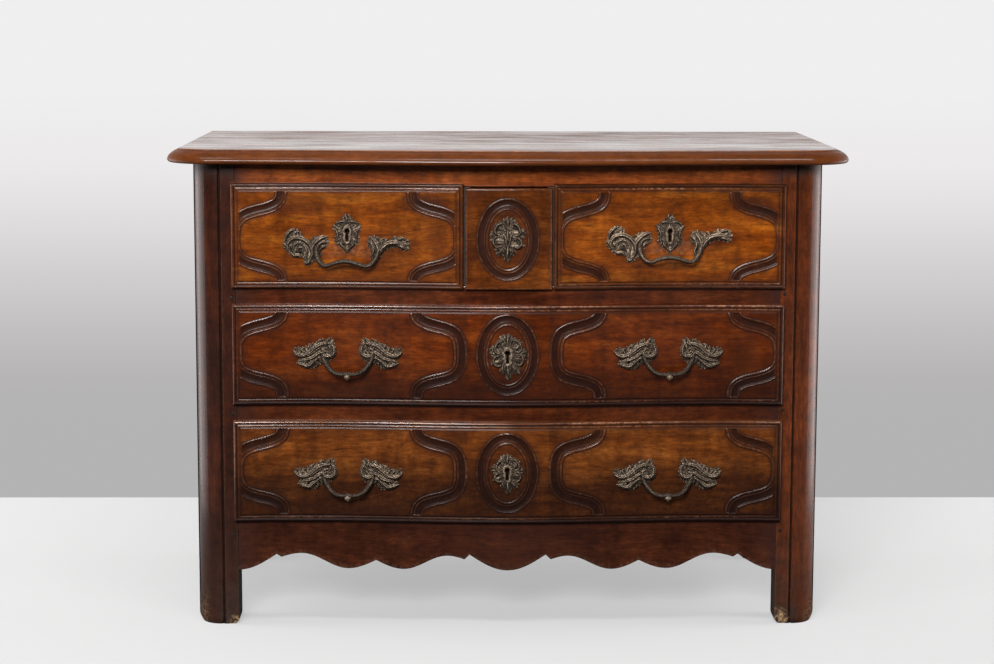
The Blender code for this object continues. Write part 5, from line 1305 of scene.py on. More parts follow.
def cast_mount(name, parts, x, z, body, nodes, metal=bronze):
    """Sets a casting made about the origin against the bowed face, and gives it its finish."""
    points, faces = joined([part for part, _ in parts])
    raised = np.concatenate([marks for _, marks in parts])
    place = points + np.array([x, FACE_Y - FIT, z])
    place[:, 1] -= wave(place[:, 0])
    make_piece(name, (place, faces), metal, body, nodes, {"raised": raised}, sharp=75)


SHELL_LEAF = MM * np.array(
    [
        (-108.5, 13.7), (-95.2, 18.8), (-85.0, 11.7), (-79.8, -0.6), (-69.6, -2.7), (-60.4, 3.5),
        (-48.1, 5.5), (-36.8, 0.4), (-33.8, -7.8), (-38.9, -14.9), (-47.0, -22.1), (-49.0, -32.3),
        (-60.4, -42.6), (-71.6, -49.7), (-80.9, -45.6), (-79.8, -36.4), (-90.0, -30.3), (-99.3, -34.4),
        (-108.5, -26.2), (-117.7, -14.9), (-114.6, 0.4),
    ]
)
TAIL_LEAF = MM * np.array(
    [
        (38.9, 0.4), (46.0, 5.5), (57.3, 1.4), (67.5, -5.7), (77.8, -5.7), (88.0, 0.4), (98.3, -1.6),
        (110.5, -3.7), (115.7, -13.9), (109.5, -26.2), (96.2, -21.1), (81.9, -20.1), (69.6, -26.2),
        (62.4, -34.4), (53.2, -46.7), (46.0, -44.6), (44.0, -32.3), (45.0, -20.0), (38.9, -16.0),
    ]
)
FAN_LEAF = MM * np.array(
    [
        (-27.9, 32.4), (-23.8, 17.5), (-22.0, 8.2), (-24.9, -1.1), (-34.2, -13.4), (-41.7, -14.9),
        (-52.8, -17.1), (-59.5, -23.4), (-67.0, -25.3), (-77.0, -21.6), (-88.2, -14.9), (-93.0, -9.7),
        (-84.0, -5.0), (-93.7, -1.1), (-100.4, 6.3), (-99.3, 13.0), (-91.9, 15.6), (-80.7, 14.9),
        (-73.3, 19.3), (-64.0, 22.3), (-52.8, 27.5), (-44.6, 31.2), (-41.7, 25.8), (-34.2, 30.5),
    ]
)


def mm_runs(*runs):
    """Runs of points given in millimetres."""
    return [MM * np.array(run) for run in runs]


# Runs of (x, z, standing out, radius) in millimetres
TOP_BAIL = MM * np.array(
    [
        (-57.0, -14.0, 6.0, 4.2), (-56.5, -25.0, 7.5, 4.6), (-53.0, -36.0, 13.0, 4.6),
        (-46.0, -44.5, 22.0, 4.2), (-36.0, -47.5, 27.5, 3.8), (-24.6, -43.5, 29.5, 3.8),
        (-10.0, -39.5, 30.0, 4.2), (4.0, -39.8, 30.0, 4.2), (20.5, -44.0, 29.5, 3.8),
        (33.0, -48.3, 28.0, 3.8), (44.0, -46.5, 23.0, 4.2), (52.5, -37.0, 14.0, 4.8),
        (57.5, -25.0, 8.5, 4.8), (62.0, -14.0, 6.0, 3.4),
    ]
)
TOP_SCROLLS = mm_runs(
    [
        (-104, -27, 3, 1.6), (-110, -15, 4, 3.0), (-105, -3, 5, 3.8), (-92, 2, 6, 4.0),
        (-77, -3, 6.5, 4.0), (-67, -14, 7, 3.8), (-64, -28, 6.5, 3.6), (-69, -41, 4.5, 1.6),
    ],
    [
        (-98, -24, 4, 1.6), (-98, -13, 5.5, 2.6), (-89, -7, 6, 2.8), (-79, -12, 6.5, 2.8),
        (-74, -23, 6.5, 2.6), (-76, -35, 4.5, 1.2),
    ],
    [(-91, -25, 4, 1.4), (-89, -17, 5.5, 2.2), (-83, -17, 5.5, 2.2), (-81, -26, 5, 1.4)],
    [(-63, -30, 6, 2.2), (-64, -17, 7.5, 3.8), (-57, -6, 7.5, 4.6), (-46, 2, 6, 4.0), (-35, 4, 3.5, 1.0)],
    [(-56, -20, 7, 2.2), (-52, -10, 7.5, 3.4), (-44, -6, 6, 3.0), (-36, -7, 3.5, 0.9)],
    [(-50, -20, 6, 1.6), (-45, -15, 5.5, 2.4), (-39, -15, 3.5, 0.9)],
    [(-113, -3, 3, 1.8), (-111, 7, 4.5, 3.2), (-103, 15, 4, 3.0), (-95, 17, 2.5, 1.0)],
    [(-99, 3, 4.5, 1.8), (-96, 11, 4.5, 2.6), (-88, 13, 3, 1.0)],
    [(-68, -36, 5, 2.2), (-73, -45, 4.5, 3.2), (-80, -43, 3, 1.2)],
    [(-84, -36, 3.5, 1.6), (-89, -31, 4.5, 3.0), (-97, -31, 4.5, 3.0), (-104, -26, 3, 1.2)],
    [(-108, -20, 3, 1.6), (-114, -12, 3.5, 2.6), (-115, -3, 3, 1.2)],
    [
        (56, -36, 8, 2.2), (63, -22, 8, 4.4), (74, -13, 7, 4.4), (90, -11, 6, 4.2), (103, -14, 5, 3.4),
        (113, -15, 3, 1.2),
    ],
    [(55, -34, 8, 2.2), (57, -21, 8, 3.8), (53, -9, 7, 3.8), (44, 3, 4.5, 1.4)],
    [
        (47, -41, 4.5, 1.6), (46, -31, 6, 2.8), (49, -21, 6.5, 2.8), (46, -11, 5.5, 2.6),
        (41, -5, 3.5, 1.0),
    ],
    [(88, -9, 5, 2.2), (98, -3, 5.5, 3.4), (108, -4, 3.5, 1.4)],
    [(90, -14, 5, 2.2), (102, -18, 5.5, 3.4), (110, -24, 3.5, 1.4)],
    [(62, -18, 7, 2.2), (64, -8, 7, 3.2), (57, 1, 4.5, 1.2)],
    [(68, -14, 6.5, 1.8), (72, -6, 5.5, 2.6), (66, -1, 4, 1.0)],
)
LOWER_BAIL = MM * np.array(
    [
        (-47.0, 1.0, 6.5, 4.4), (-44.0, -7.0, 8.0, 4.6), (-38.5, -16.0, 12.5, 4.4),
        (-31.0, -24.5, 20.0, 4.1), (-21.0, -30.0, 27.0, 3.8), (-11.0, -31.5, 29.5, 3.8),
        (-4.5, -31.4, 30.0, 4.4), (0.0, -31.3, 30.0, 5.0),
    ]
)
LOWER_SCROLLS = mm_runs(
    [
        (-34, 23, 6, 2.0), (-45, 22, 7, 3.4), (-57, 17, 7.5, 4.2), (-69, 6.5, 7.5, 4.2),
        (-83, -0.5, 7, 3.8), (-94, 2, 6, 3.2), (-101, 9, 4, 1.2),
    ],
    [(-40, 8, 7, 2.0), (-52, 5, 8, 3.2), (-65, -4, 8, 3.6), (-78, -8, 7, 3.2), (-92, -10, 4.5, 1.2)],
    [
        (-44, -3, 6.5, 2.0), (-54, -4, 7.5, 3.0), (-65, -12.5, 7.5, 3.8), (-73, -19, 7, 3.8),
        (-85, -17, 6, 3.2), (-95, -14, 3.5, 1.0),
    ],
    [(-47, 13, 7, 1.6), (-51, 20, 6.5, 2.6), (-48, 27, 4, 1.0)],
    [(-58, 9, 8, 1.6), (-62, 17, 6.5, 2.4), (-57, 24, 4, 1.0)],
    [(-70, 3, 8, 1.6), (-76, 11, 6, 2.4), (-72, 18, 3.5, 1.0)],
    [(-83, -2, 7, 1.6), (-90, 7, 5.5, 2.4), (-92, 13, 3.5, 1.0)],
    [(-52, -3, 7.5, 1.4), (-50, -11, 6, 2.2), (-44, -13, 4, 0.9)],
    [(-74, -9, 7, 1.4), (-79, -14, 6.5, 2.2), (-74, -22, 4, 0.9)],
    [
        (-33, 25, 5.5, 1.4), (-26, 16, 7, 3.0), (-26, 5, 8, 3.6), (-34, -1, 8.5, 3.6),
        (-44, 1, 8.5, 3.2), (-46.5, 9, 8, 2.6), (-40, 14, 7.5, 1.8), (-36, 10, 7, 1.0),
    ],
    [(-41, 19, 6.5, 2.4), (-38, 27, 6, 2.8), (-33, 34, 3.5, 0.9)],
    [(-53, 22, 5.5, 2.2), (-51, 28, 5, 2.4), (-45, 30, 3, 0.8)],
    [(-66, 13, 5.5, 2.2), (-69, 19, 5, 2.4), (-63, 22.5, 3, 0.8)],
    [(-80, 5, 5.5, 2.2), (-85, 11, 5, 2.4), (-80, 14.5, 3, 0.8)],
    [(-58, -10, 6, 2.0), (-57, -18, 5, 2.2), (-62, -23, 3, 0.8)],
    [(-78, -10, 6, 1.8), (-88, -14, 5, 2.2), (-92, -10, 3.5, 0.8)],
    [(-50, 16, 8, 1.2), (-60, 9, 8.8, 1.6), (-72, 1, 8.5, 1.5), (-86, -3, 7, 0.9)],
    [(-53, 20, 8, 1.0), (-64, 13, 8.3, 1.4), (-76, 5, 8, 1.3), (-90, 3, 6.5, 0.8)],
)


def flipped(runs):
    """The same runs on the other side of the middle."""
    return [run * np.array([-1, 1, 1, 1]) for run in runs]


SHELL_SPINE = MM * np.array([(-92, -10), (-55, -14)])
TAIL_SPINE = MM * np.array([(52, -24), (98, -12)])
# How far each top handle is bent up or down, from its shell along the bail to the tail: place, rise
TOP_BEND = {
    -1: MM * np.array([(-110, -60, 40, 75, 110), (-4.5, -4.5, -4.0, 0.0, 0.0)]),
    1: MM * np.array([(-110, -60, 40, 75, 110), (1.5, 3.0, 4.5, 12.0, 15.5)]),
}


def bent_casting(part, places, rises):
    """A part of a casting with every point raised by a curve along x."""
    (points, faces), raised = part
    rise = np.interp(points[:, 0], places, rises)
    return (points + np.stack([0 * rise, 0 * rise, rise], 1), faces), raised


def turned_knop():
    """The drop in the middle of a bail: circles down a line, small, full, waist, bead, point."""
    drop = MM * np.array([3.0, 2.0, 0.0, -2.5, -5.0, -7.0, -8.4, -9.4, -10.2])
    size = MM * np.array([2.6, 4.6, 6.0, 6.6, 6.0, 4.4, 2.6, 1.6, 0.4])
    turn = 2 * np.pi * np.arange(20) / 20
    x = size[:, None] * np.cos(turn)
    y = -0.0298 - size[:, None] * np.sin(turn)
    z = np.broadcast_to((-0.0325 + drop)[:, None], x.shape)
    raised = np.clip(0.35 + 0.45 * np.sin(turn), 0, 1)
    return skin(np.stack([x, y, z], -1)), np.broadcast_to(raised, x.shape).ravel()


for side, hand in HANDS:
    parts = [
        relief_leaf(SHELL_LEAF, SHELL_SPINE, 420, 22, 0.0036, 0.0016, 0.0007, 34, 0.0032),
        relief_leaf(TAIL_LEAF, TAIL_SPINE, 360, 16, 0.0032, 0.0016, 0.0007, 27, 0.0030),
        swept_bar(TOP_BAIL, 110, 16, 4, 0.07, worn=0.75),
    ]
    parts += [swept_bar(run, 30, 20, 5, 0.15, 0.75) for run in TOP_SCROLLS]
    parts = [bent_casting(part, *TOP_BEND[side]) for part in parts]
    node = "handle_top_" + hand
    metal = bronze if side < 0 else paler_bronze
    cast_mount("cast_" + node, parts, side * CARTOUCHE_X, TOP_LEVEL, "drawer_top_" + hand, [node], metal)

TURNED = np.array([-1, 1])
FAN_RELIEF = (420, 20, 0.0036, 0.0018, 0.0007, 34, 0.0034)
LOWER_HANDLE_DROP = {"middle": 0.0, "lower": -0.008}
for row, drop in LOWER_HANDLE_DROP.items():
    level = middle_height("drawer_" + row + "_front") + drop
    for side, hand in HANDS:
        whole = np.concatenate([LOWER_BAIL, LOWER_BAIL[-2::-1] * np.array([-1, 1, 1, 1])])
        spine = MM * np.array([(-82, 2), (-36, 8)])
        parts = [
            relief_leaf(FAN_LEAF, spine, *FAN_RELIEF),
            relief_leaf(FAN_LEAF * TURNED, spine * TURNED, *FAN_RELIEF),
            swept_bar(whole, 110, 16, 4, 0.07, worn=0.55),
            turned_knop(),
        ]
        parts += [swept_bar(run, 30, 20, 5, 0.15, 0.75) for run in LOWER_SCROLLS + flipped(LOWER_SCROLLS)]
        node = "handle_" + row + "_" + hand
        cast_mount("cast_" + node, parts, side * CARTOUCHE_X, level, "drawer_" + row, [node])

# Escutcheons and the middle mount
# Cast bronze plates nailed over the keyholes: crested shields on the top drawers, ragged shell cartouches in
# the ovals. The one in the top oval has no keyhole and is held by a stud.

SHIELD_HALF = [
    (0.0, 37.5), (7.5, 33.0), (11.5, 26.5), (21.5, 20.5), (26.5, 12.0), (21.0, 2.0), (23.0, -11.0),
    (16.5, -21.0), (8.0, -25.0),
]
SHIELD = MM * np.array(SHIELD_HALF + [(0.0, -36.0)] + [(-x, z) for x, z in SHIELD_HALF[:0:-1]])
CARTOUCHE = MM * np.array(
    [
        (-2.0, 39.5), (-13.5, 36.5), (-18.5, 24.0), (-31.5, 15.0), (-29.5, 2.5), (-22.0, -3.5),
        (-31.0, -12.5), (-15.5, -16.5), (-13.5, -27.0), (-5.0, -32.0), (-2.5, -40.0), (5.5, -39.5),
        (9.0, -29.5), (19.5, -31.0), (23.5, -18.5), (20.5, -12.0), (32.0, -2.5), (31.5, 13.0), (22.5, 16.5),
        (25.5, 26.5), (11.5, 34.0), (4.0, 40.0),
    ]
)


def keyhole_loop(count, keyhole_z):
    """Outline of the keyhole by angle from its eye: the eye's circle, drawn down into the slot below it."""
    eye = np.radians(np.linspace(-60, 240, 13))
    knots = np.stack([KEYHOLE_RADIUS * np.cos(eye), KEYHOLE_RADIUS * np.sin(eye)], 1)
    slot = np.array([(-KEYHOLE_HALF_SLOT, -KEYHOLE_DROP), (KEYHOLE_HALF_SLOT, -KEYHOLE_DROP)])
    knots = np.concatenate([knots, slot])
    knots = np.concatenate([knots, knots[:1]])
    length = np.concatenate([[0], np.cumsum(np.linalg.norm(np.diff(knots, axis=0), axis=1))])
    t = np.linspace(0, length[-1], count, endpoint=False)
    loop = np.stack([np.interp(t, length, knots[:, 0]), np.interp(t, length, knots[:, 1])], 1)
    return loop + np.array([0.0, keyhole_z])


def pierced_plate(outline, keyhole_z, count, levels, crown, flute, tips, tip):
    """A cartouche plate: from a rim cut into tips it rises in flutes to a boss, then falls to the keyhole."""
    edge = smooth_loop(outline, count)
    hole = keyhole_loop(count, keyhole_z)
    angle = np.arctan2(edge[:, 1] - keyhole_z, edge[:, 0])
    angle_hole = np.arctan2(hole[:, 1] - keyhole_z, hole[:, 0])
    start = np.argmin(np.abs(np.angle(np.exp(1j * (angle_hole - angle[0])))))
    hole = np.roll(hole, -start, 0)
    edge_turn = np.angle(np.exp(1j * (angle[5] - angle[0])))
    hole_turn = np.angle(np.exp(1j * (np.roll(angle_hole, -start)[5] - angle[0])))
    if edge_turn * hole_turn < 0:
        hole = np.roll(hole[::-1], 1, 0)
    edge, lobe, tooth = ragged_edge(edge, np.array([0.0, keyhole_z]), tips, tip)
    s = np.linspace(0, 1, levels)[:, None]
    plan = edge[None] * (1 - s)[..., None] + hole[None] * s[..., None]
    boss = np.exp(-(((s - 0.86) / 0.10) ** 2)) - 0.55 * np.exp(-(((s - 0.68) / 0.08) ** 2))
    chased = flute * lobe[None] * np.sin(np.pi * np.clip(s / 0.7, 0, 1) ** 0.8)
    chased = chased + 0.0011 * (tooth[None] - 0.5) * np.clip(1 - s / 0.8, 0, 1)
    out = 0.0014 + crown * np.sin(np.clip(s / 0.75, 0, 1) * np.pi / 2) + chased + 0.0012 * boss
    out = np.maximum(out, 0.0010)
    front = np.stack([plan[..., 0], -out, plan[..., 1]], -1)
    flat = np.stack([edge[:, 0], np.zeros(count), edge[:, 1]], 1)
    through = np.stack([hole[:, 0], np.zeros(count), hole[:, 1]], 1)
    rings = np.concatenate([flat[None], front, through[None]])
    raised = np.clip(0.46 + 0.40 * chased / flute + 0.30 * boss, 0, 1)
    zero = np.zeros((1, count))
    points, faces = skin(rings, capped=False)
    index = np.arange(len(points)).reshape(-1, count)
    faces += ring_faces(index[[-1, 0]])
    return (points, faces), np.concatenate([zero, raised, zero]).ravel()


SHIELD_HALF_SCROLLS = mm_runs(
    [(-20, 18, 2.5, 1.4), (-14, 23, 3.5, 2.4), (-6, 24, 4, 2.4), (0, 21, 4, 1.2)],
    [(0, 24, 4, 2.2), (0, 30, 4, 2.6), (0, 36, 2.5, 1.0)],
    [(-5, 25, 3.5, 1.6), (-7, 30, 3, 1.8), (-4, 34, 2.5, 0.8)],
    [(-23, 12, 2.5, 1.4), (-19, 6, 3.5, 2.2), (-17, -3, 3.5, 2.2), (-20, -11, 2.5, 1.2)],
    [(-13, -12, 3.5, 1.4), (-11, -19, 4, 2.4), (-5, -25, 3.5, 2.2), (0, -33, 2.5, 1.2)],
)
SHIELD_SCROLLS = []
for run in SHIELD_HALF_SCROLLS:
    SHIELD_SCROLLS += [run] if not run[:, 0].any() else [run, *flipped([run])]
CARTOUCHE_SCROLLS = mm_runs(
    [
        (-6, 28, 4, 1.2), (-15, 27, 5, 2.4), (-21, 20, 5, 2.8), (-22, 11, 5, 2.8), (-16, 6, 5, 2.2),
        (-12, 9, 5, 1.2),
    ],
    [(-14, 3, 5, 1.2), (-22, 0, 5, 2.6), (-25, -9, 4.5, 2.6), (-18, -16, 4.5, 2.4), (-11, -14, 5, 1.4)],
    [
        (6, 29, 4, 1.2), (15, 29, 5, 2.4), (22, 23, 5, 2.8), (24, 14, 5, 2.8), (18, 8, 5, 2.2),
        (13, 11, 5, 1.2),
    ],
    [(13, 4, 5, 1.2), (23, 4, 5, 2.6), (27, -5, 4.5, 2.6), (22, -14, 4.5, 2.4), (13, -13, 5, 1.4)],
    [(0, 24, 5.5, 2.2), (0, 31, 5, 2.8), (1, 38, 3, 1.2)],
    [(-4, 25, 5, 1.8), (-7, 31, 4.5, 2.4), (-9, 35, 3, 1.0)],
    [(5, 25, 5, 1.8), (8, 31, 4.5, 2.4), (11, 34, 3, 1.0)],
    [(-24, 14, 4.5, 1.6), (-29, 15, 4, 2.2), (-31, 9, 3, 1.0)],
    [(26, 8, 4.5, 1.6), (31, 9, 4, 2.2), (32, 2, 3, 1.0)],
    [(0, -15, 5.5, 2.0), (1, -27, 5.5, 3.2), (2, -38, 3, 1.4)],
    [(-8, -14, 5, 1.6), (-9, -22, 5, 2.6), (-4, -31, 3.5, 1.2)],
    [(8, -15, 5, 1.6), (14, -22, 5, 2.6), (17, -29, 3.5, 1.2)],
)
for side, hand in HANDS:
    parts = [pierced_plate(SHIELD, 0.006, 400, 20, 0.0026, 0.0011, 26, 0.0030)]
    parts += [swept_bar(run, 20, 13, 4, 0.14) for run in SHIELD_SCROLLS]
    node = "escutcheon_top_" + hand
    cast_mount("cast_" + node, parts, side * CARTOUCHE_X, TOP_LEVEL + 0.004, "drawer_top_" + hand, [node])
for row, size in (("middle", 1.06), ("lower", 0.92)):
    level = middle_height("drawer_" + row + "_front")
    parts = [pierced_plate(size * CARTOUCHE, 0.007, 420, 20, 0.0030, 0.0014, 34, 0.0022)]
    reach = np.array([size, size, 1.0, 1.0])
    parts += [swept_bar(run * reach, 20, 13, 4, 0.14) for run in CARTOUCHE_SCROLLS]
    node = "escutcheon_" + row
    cast_mount("cast_" + node, parts, OVAL_X, level, "drawer_" + row, [node])
SECRET_SCROLLS = flipped(CARTOUCHE_SCROLLS) + mm_runs(
    [(-9, 10, 5, 1.8), (-4, 3, 6.5, 3.0), (-3, -8, 6.5, 3.0), (0, -18, 5, 1.6)],
    [(9, 12, 5, 1.8), (5, 4, 6.5, 3.0), (3, -6, 6.5, 2.8), (0, -18, 5, 1.6)],
    [(0, 20, 5.5, 1.8), (-1, 10, 7, 3.0), (0, -2, 7, 2.4)],
)
spine = MM * np.array([(0, -14), (0, 14)])
parts = [relief_leaf(CARTOUCHE * TURNED, spine, 400, 20, 0.0042, 0.0014, 0.0007, 32, 0.0034)]
parts += [swept_bar(run, 20, 13, 4, 0.14) for run in SECRET_SCROLLS]
cast_mount("cast_mount_secret", parts, OVAL_X, TOP_LEVEL - 0.003, "drawer_secret", ["mount_secret"])

# Top
# Two wide walnut boards, tongued together along a seam, with a moulded edge: fillet, ogee and a full nose.
# The front is softly bowed and the front corners are rounded.

TOP_LOW, TOP_HIGH = cad_low, cad_high
TOP_BOW = 0.033
TOP_CORNER = 0.082
SEAM_TONGUE = 0.009
SEAM_GAP = 0.0004
TOP_TONES = ((0.060, 0.0150, 0.0040), (0.140, 0.0370, 0.0085), (0.230, 0.0680, 0.0180))
TOP_AGED = (0.130, 0.0335, 0.0070, 1.0)
TOP_BARE = (0.150, 0.0420, 0.0110, 1.0)
TOP_STREAKS = 0.60
TOP_WEAR = (TOP_BARE, TOP_AGED, TOP_STREAKS)
FLAT_RUBBED = 0.38
MOULDING_GRIME = 0.70
# How far the flat, the fillet and the nose reach down
FLAT_DROP = 0.0002
FILLET_DROP = 0.0020
UNDERSIDE_DROP = 0.0245
# Soft lines along the moulding by the drop from the flat: place, width, strength; rubbed colour that also
# paints highlights on the nose and along the flat's edge
TOP_RUBBED_GLINTS = ((0.0185, 0.0035, 0.26), (0.0004, 0.0008, 0.45))
TOP_QUIRK = (0.0028, 0.0007, 1.0)
# Moulding from the flat of the top to the underside: setback from the nose, drop
MOULDING = MM * np.array(
    [
        (24.5, 0.0), (23.6, 0.15), (23.0, 0.6), (22.7, 1.8), (22.2, 2.4), (21.0, 2.8), (18.6, 3.2),
        (15.0, 4.4), (11.2, 6.5), (8.0, 8.8), (5.2, 11.2), (2.9, 13.9), (1.2, 16.4), (0.3, 18.4),
        (0.0, 20.0), (0.3, 21.7), (1.1, 23.2), (2.4, 24.6), (4.2, 25.6), (7.0, 26.0),
    ]
)


def top_edge(seam_y, rows):
    """Nose line of the top from the seam round the front and back, with the way that the moulding faces.

    The front is a raised cosine between the corners, which are quarter circles; the ends run straight back.
    """
    half = TOP_HIGH.x
    reach = half - TOP_CORNER
    front_y = TOP_LOW.y
    x = reach * np.sin(np.linspace(-np.pi / 2, np.pi / 2, 97))
    slope = TOP_BOW * 0.5 * np.pi / reach * np.sin(np.pi * x / reach)
    length = np.hypot(slope, 1)
    front = np.stack([x, front_y + TOP_BOW * (0.5 - 0.5 * np.cos(np.pi * x / reach))], 1)
    front_facing = np.stack([slope / length, -1 / length], 1)
    turn = np.linspace(0, np.pi / 2, 20)[1:]
    facing = np.stack([np.sin(turn), -np.cos(turn)], 1)
    centre = np.array([reach, front_y + TOP_BOW + TOP_CORNER])
    corner = centre + TOP_CORNER * facing
    start_y = corner[-1, 1]
    back = np.linspace(start_y, seam_y, rows)[1:]
    end = np.stack([np.full(len(back), half), back], 1)
    end_facing = np.broadcast_to([1.0, 0.0], end.shape)
    right = np.concatenate([corner, end])
    right_facing = np.concatenate([facing, end_facing])
    flip = np.array([-1.0, 1.0])
    line = np.concatenate([right[::-1] * flip, front, right])
    faces_out = np.concatenate([right_facing[::-1] * flip, front_facing, right_facing])
    return line, faces_out


def moulded_slab(line, facing):
    """Rings of the moulding carried along the nose line, from the flat of the top to the underside."""
    inset = MOULDING[:, 0][:, None, None]
    ring = line[None] - facing[None] * inset
    z = TOP_HIGH.z - MOULDING[:, 1]
    return np.concatenate([ring, np.broadcast_to(z[:, None, None], (*ring.shape[:2], 1))], -1)


def slab_faces(rings):
    """Faces of a slab whose rings run from the flat top to the underside: moulding, flats, and the back."""
    levels, count = rings.shape[:2]
    index = np.arange(levels * count).reshape(levels, count)
    faces = grid_faces(index)
    for level in (0, levels - 1):
        left = index[level, : count // 2]
        right = index[level, ::-1][: count // 2]
        faces += np.stack([left[:-1], left[1:], right[1:], right[:-1]], -1).tolist()
        faces.append([int(left[-1]), int(index[level, count // 2]), int(right[-1])])
    faces.append(index[:, 0].tolist() + index[::-1, -1].tolist())
    return faces


def top_board(piece, node, polish, line, facing):
    """One board of the top: rubbed on its nose and along the flat's edge, and dirty in the quirk and below.

    The flat itself is rubbed in step with the distance that a place lies in front of the seam. The rubbed
    lines on the nose and the flat's edge also paint highlights there.
    """
    rings = moulded_slab(line, facing)
    drop = np.broadcast_to(MOULDING[:, 1][:, None], rings.shape[:2])
    forward = np.clip((seam_y - rings[..., 1]) / (seam_y - TOP_LOW.y), 0, 1)
    dirt = stripe(drop, *TOP_QUIRK) + MOULDING_GRIME * (drop > FILLET_DROP) + (drop > UNDERSIDE_DROP)
    marks = {
        "rubbed": np.where(drop < FLAT_DROP, FLAT_RUBBED * forward, stripes(drop, TOP_RUBBED_GLINTS)),
        "grime": np.clip(dirt, 0, 1),
    }
    shape = (rings.reshape(-1, 3), slab_faces(rings))
    make_piece(piece, shape, polish, "carcass", [node], marks)


seam_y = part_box("top_rear_board")[0].y + SEAM_TONGUE
front_polish = walnut("walnut_top", TOP_TONES, GRAIN_ALONG_X, (0.2, 0.63, 0.5), 0.07, *TOP_WEAR)
top_board("moulded_top_front", "top_front_board", front_polish, *top_edge(seam_y - SEAM_GAP, 40))
back = np.linspace(seam_y + SEAM_GAP, TOP_HIGH.y, 14)
end = np.stack([np.full(len(back), TOP_HIGH.x), back], 1)
line = np.concatenate([end[::-1] * np.array([-1, 1]), [[0.0, back[0]]], end])
outward = np.broadcast_to([1.0, 0.0], end.shape)
facing = np.concatenate([-outward, [[0.0, 0.0]], outward])
rear_polish = walnut("walnut_top_rear", TOP_TONES, GRAIN_ALONG_X, (1.7, 0.13, 0.2), 0.09, *TOP_WEAR)
top_board("moulded_top_rear", "top_rear_board", rear_polish, line, facing)

# Studio
# A pale floor that meets a grey sweep behind the commode, soft lamps in front and above, and the camera.

WALL_Y = 0.83
FLOOR_ASIDE = (0.66, 0.95)
FLOOR_DEPTH = (-1.2, 0.8)
FLOOR_DIM_Y = -2.6
FLOOR_GLOW = (0.375, 0.478)
FLOOR_PAPER = (0.285, 0.285, 0.285)
FLOOR_BOUNCE = (0.06, 0.06, 0.06)
# Height above the floor and tone of the sweep
WALL_TONES = (
    (0.18, 0.452), (0.96, 0.864), (0.29, 0.470), (0.40, 0.535), (0.56, 0.655), (0.70, 0.775), (0.79, 0.835),
)


def plane(name, corners, material):
    """One flat four-cornered sheet of the studio."""
    mesh = bpy.data.meshes.new(name)
    mesh.from_pydata(corners, [], [(0, 1, 2, 3)])
    mesh.materials.append(material)
    obj = bpy.data.objects.new(name, mesh)
    bpy.context.scene.collection.objects.link(obj)


def seen_rays(tree, far):
    """One where the camera looks straight at a surface, and far where it is seen in a reflection."""
    path = tree.nodes.new("ShaderNodeLightPath")
    mirrored = sums(tree, "MAXIMUM", path.outputs["Is Glossy Ray"], path.outputs["Is Transmission Ray"])
    return sums(tree, "MAXIMUM", path.outputs["Is Camera Ray"], scaled(tree, mirrored, far))


def floor_finish():
    """Pale paper that glows a little, so that the shadow on it stays light; it dims away from the commode."""
    material, tree, shader, place = new_material("studio_floor")
    split = add_node(tree, "ShaderNodeSeparateXYZ", {}, {"Vector": place})
    near = ranged(tree, split.outputs["Y"], FLOOR_DIM_Y, FRONT_Y, 0.0, 0.10)
    aside = ranged(tree, sums(tree, "ABSOLUTE", split.outputs["X"]), *FLOOR_ASIDE)
    near = sums(tree, "MAXIMUM", near, aside)
    tone = ranged(tree, split.outputs["Y"], *FLOOR_DEPTH, *FLOOR_GLOW)
    strength = scaled(tree, tone, seen_rays(tree, near))
    glow = add_node(tree, "ShaderNodeEmission", {}, {"Color": (1.0, 1.0, 1.0, 1.0), "Strength": strength})
    both = tree.nodes.new("ShaderNodeAddShader")
    straight = tree.nodes.new("ShaderNodeLightPath").outputs["Is Camera Ray"]
    paper = mixed(tree, straight, (*FLOOR_BOUNCE, 1.0), (*FLOOR_PAPER, 1.0))
    tree.links.new(paper, shader.inputs["Base Color"])
    shader.inputs["Roughness"].default_value = 0.9
    shader.inputs["Specular IOR Level"].default_value = 0.0
    tree.links.new(shader.outputs[0], both.inputs[0])
    tree.links.new(glow.outputs[0], both.inputs[1])
    tree.links.new(both.outputs[0], tree.nodes["Material Output"].inputs["Surface"])
    return material


def wall_finish():
    """A sweep lit from above: light at the top, mid grey towards the floor, and clear from behind."""
    material, tree, shader, place = new_material("studio_wall")
    split = add_node(tree, "ShaderNodeSeparateXYZ", {}, {"Vector": place})
    stops = [(height, (tone, tone, tone)) for height, tone in WALL_TONES[:2]]
    stops += [(height, (tone, 0.975 * tone, 0.983 * tone)) for height, tone in WALL_TONES[2:]]
    tone = ramped(tree, split.outputs["Z"], stops)
    shown = add_node(tree, "ShaderNodeEmission", {}, {"Color": tone, "Strength": 1.0})
    both = tree.nodes.new("ShaderNodeMixShader")
    shader.inputs["Base Color"].default_value = (0.45, 0.45, 0.45, 1.0)
    tree.links.new(seen_rays(tree, 0.92), both.inputs[0])
    tree.links.new(shader.outputs[0], both.inputs[1])
    tree.links.new(shown.outputs[0], both.inputs[2])
    clear = tree.nodes.new("ShaderNodeMixShader")
    tree.links.new(tree.nodes.new("ShaderNodeNewGeometry").outputs["Backfacing"], clear.inputs[0])
    tree.links.new(both.outputs[0], clear.inputs[1])
    tree.links.new(tree.nodes.new("ShaderNodeBsdfTransparent").outputs[0], clear.inputs[2])
    tree.links.new(clear.outputs[0], tree.nodes["Material Output"].inputs["Surface"])
    return material


plane("studio_floor", [(-8, -8, 0), (8, -8, 0), (8, WALL_Y, 0), (-8, WALL_Y, 0)], floor_finish())
plane("studio_wall", [(-8, WALL_Y, 0), (8, WALL_Y, 0), (8, WALL_Y, 4), (-8, WALL_Y, 4)], wall_finish())


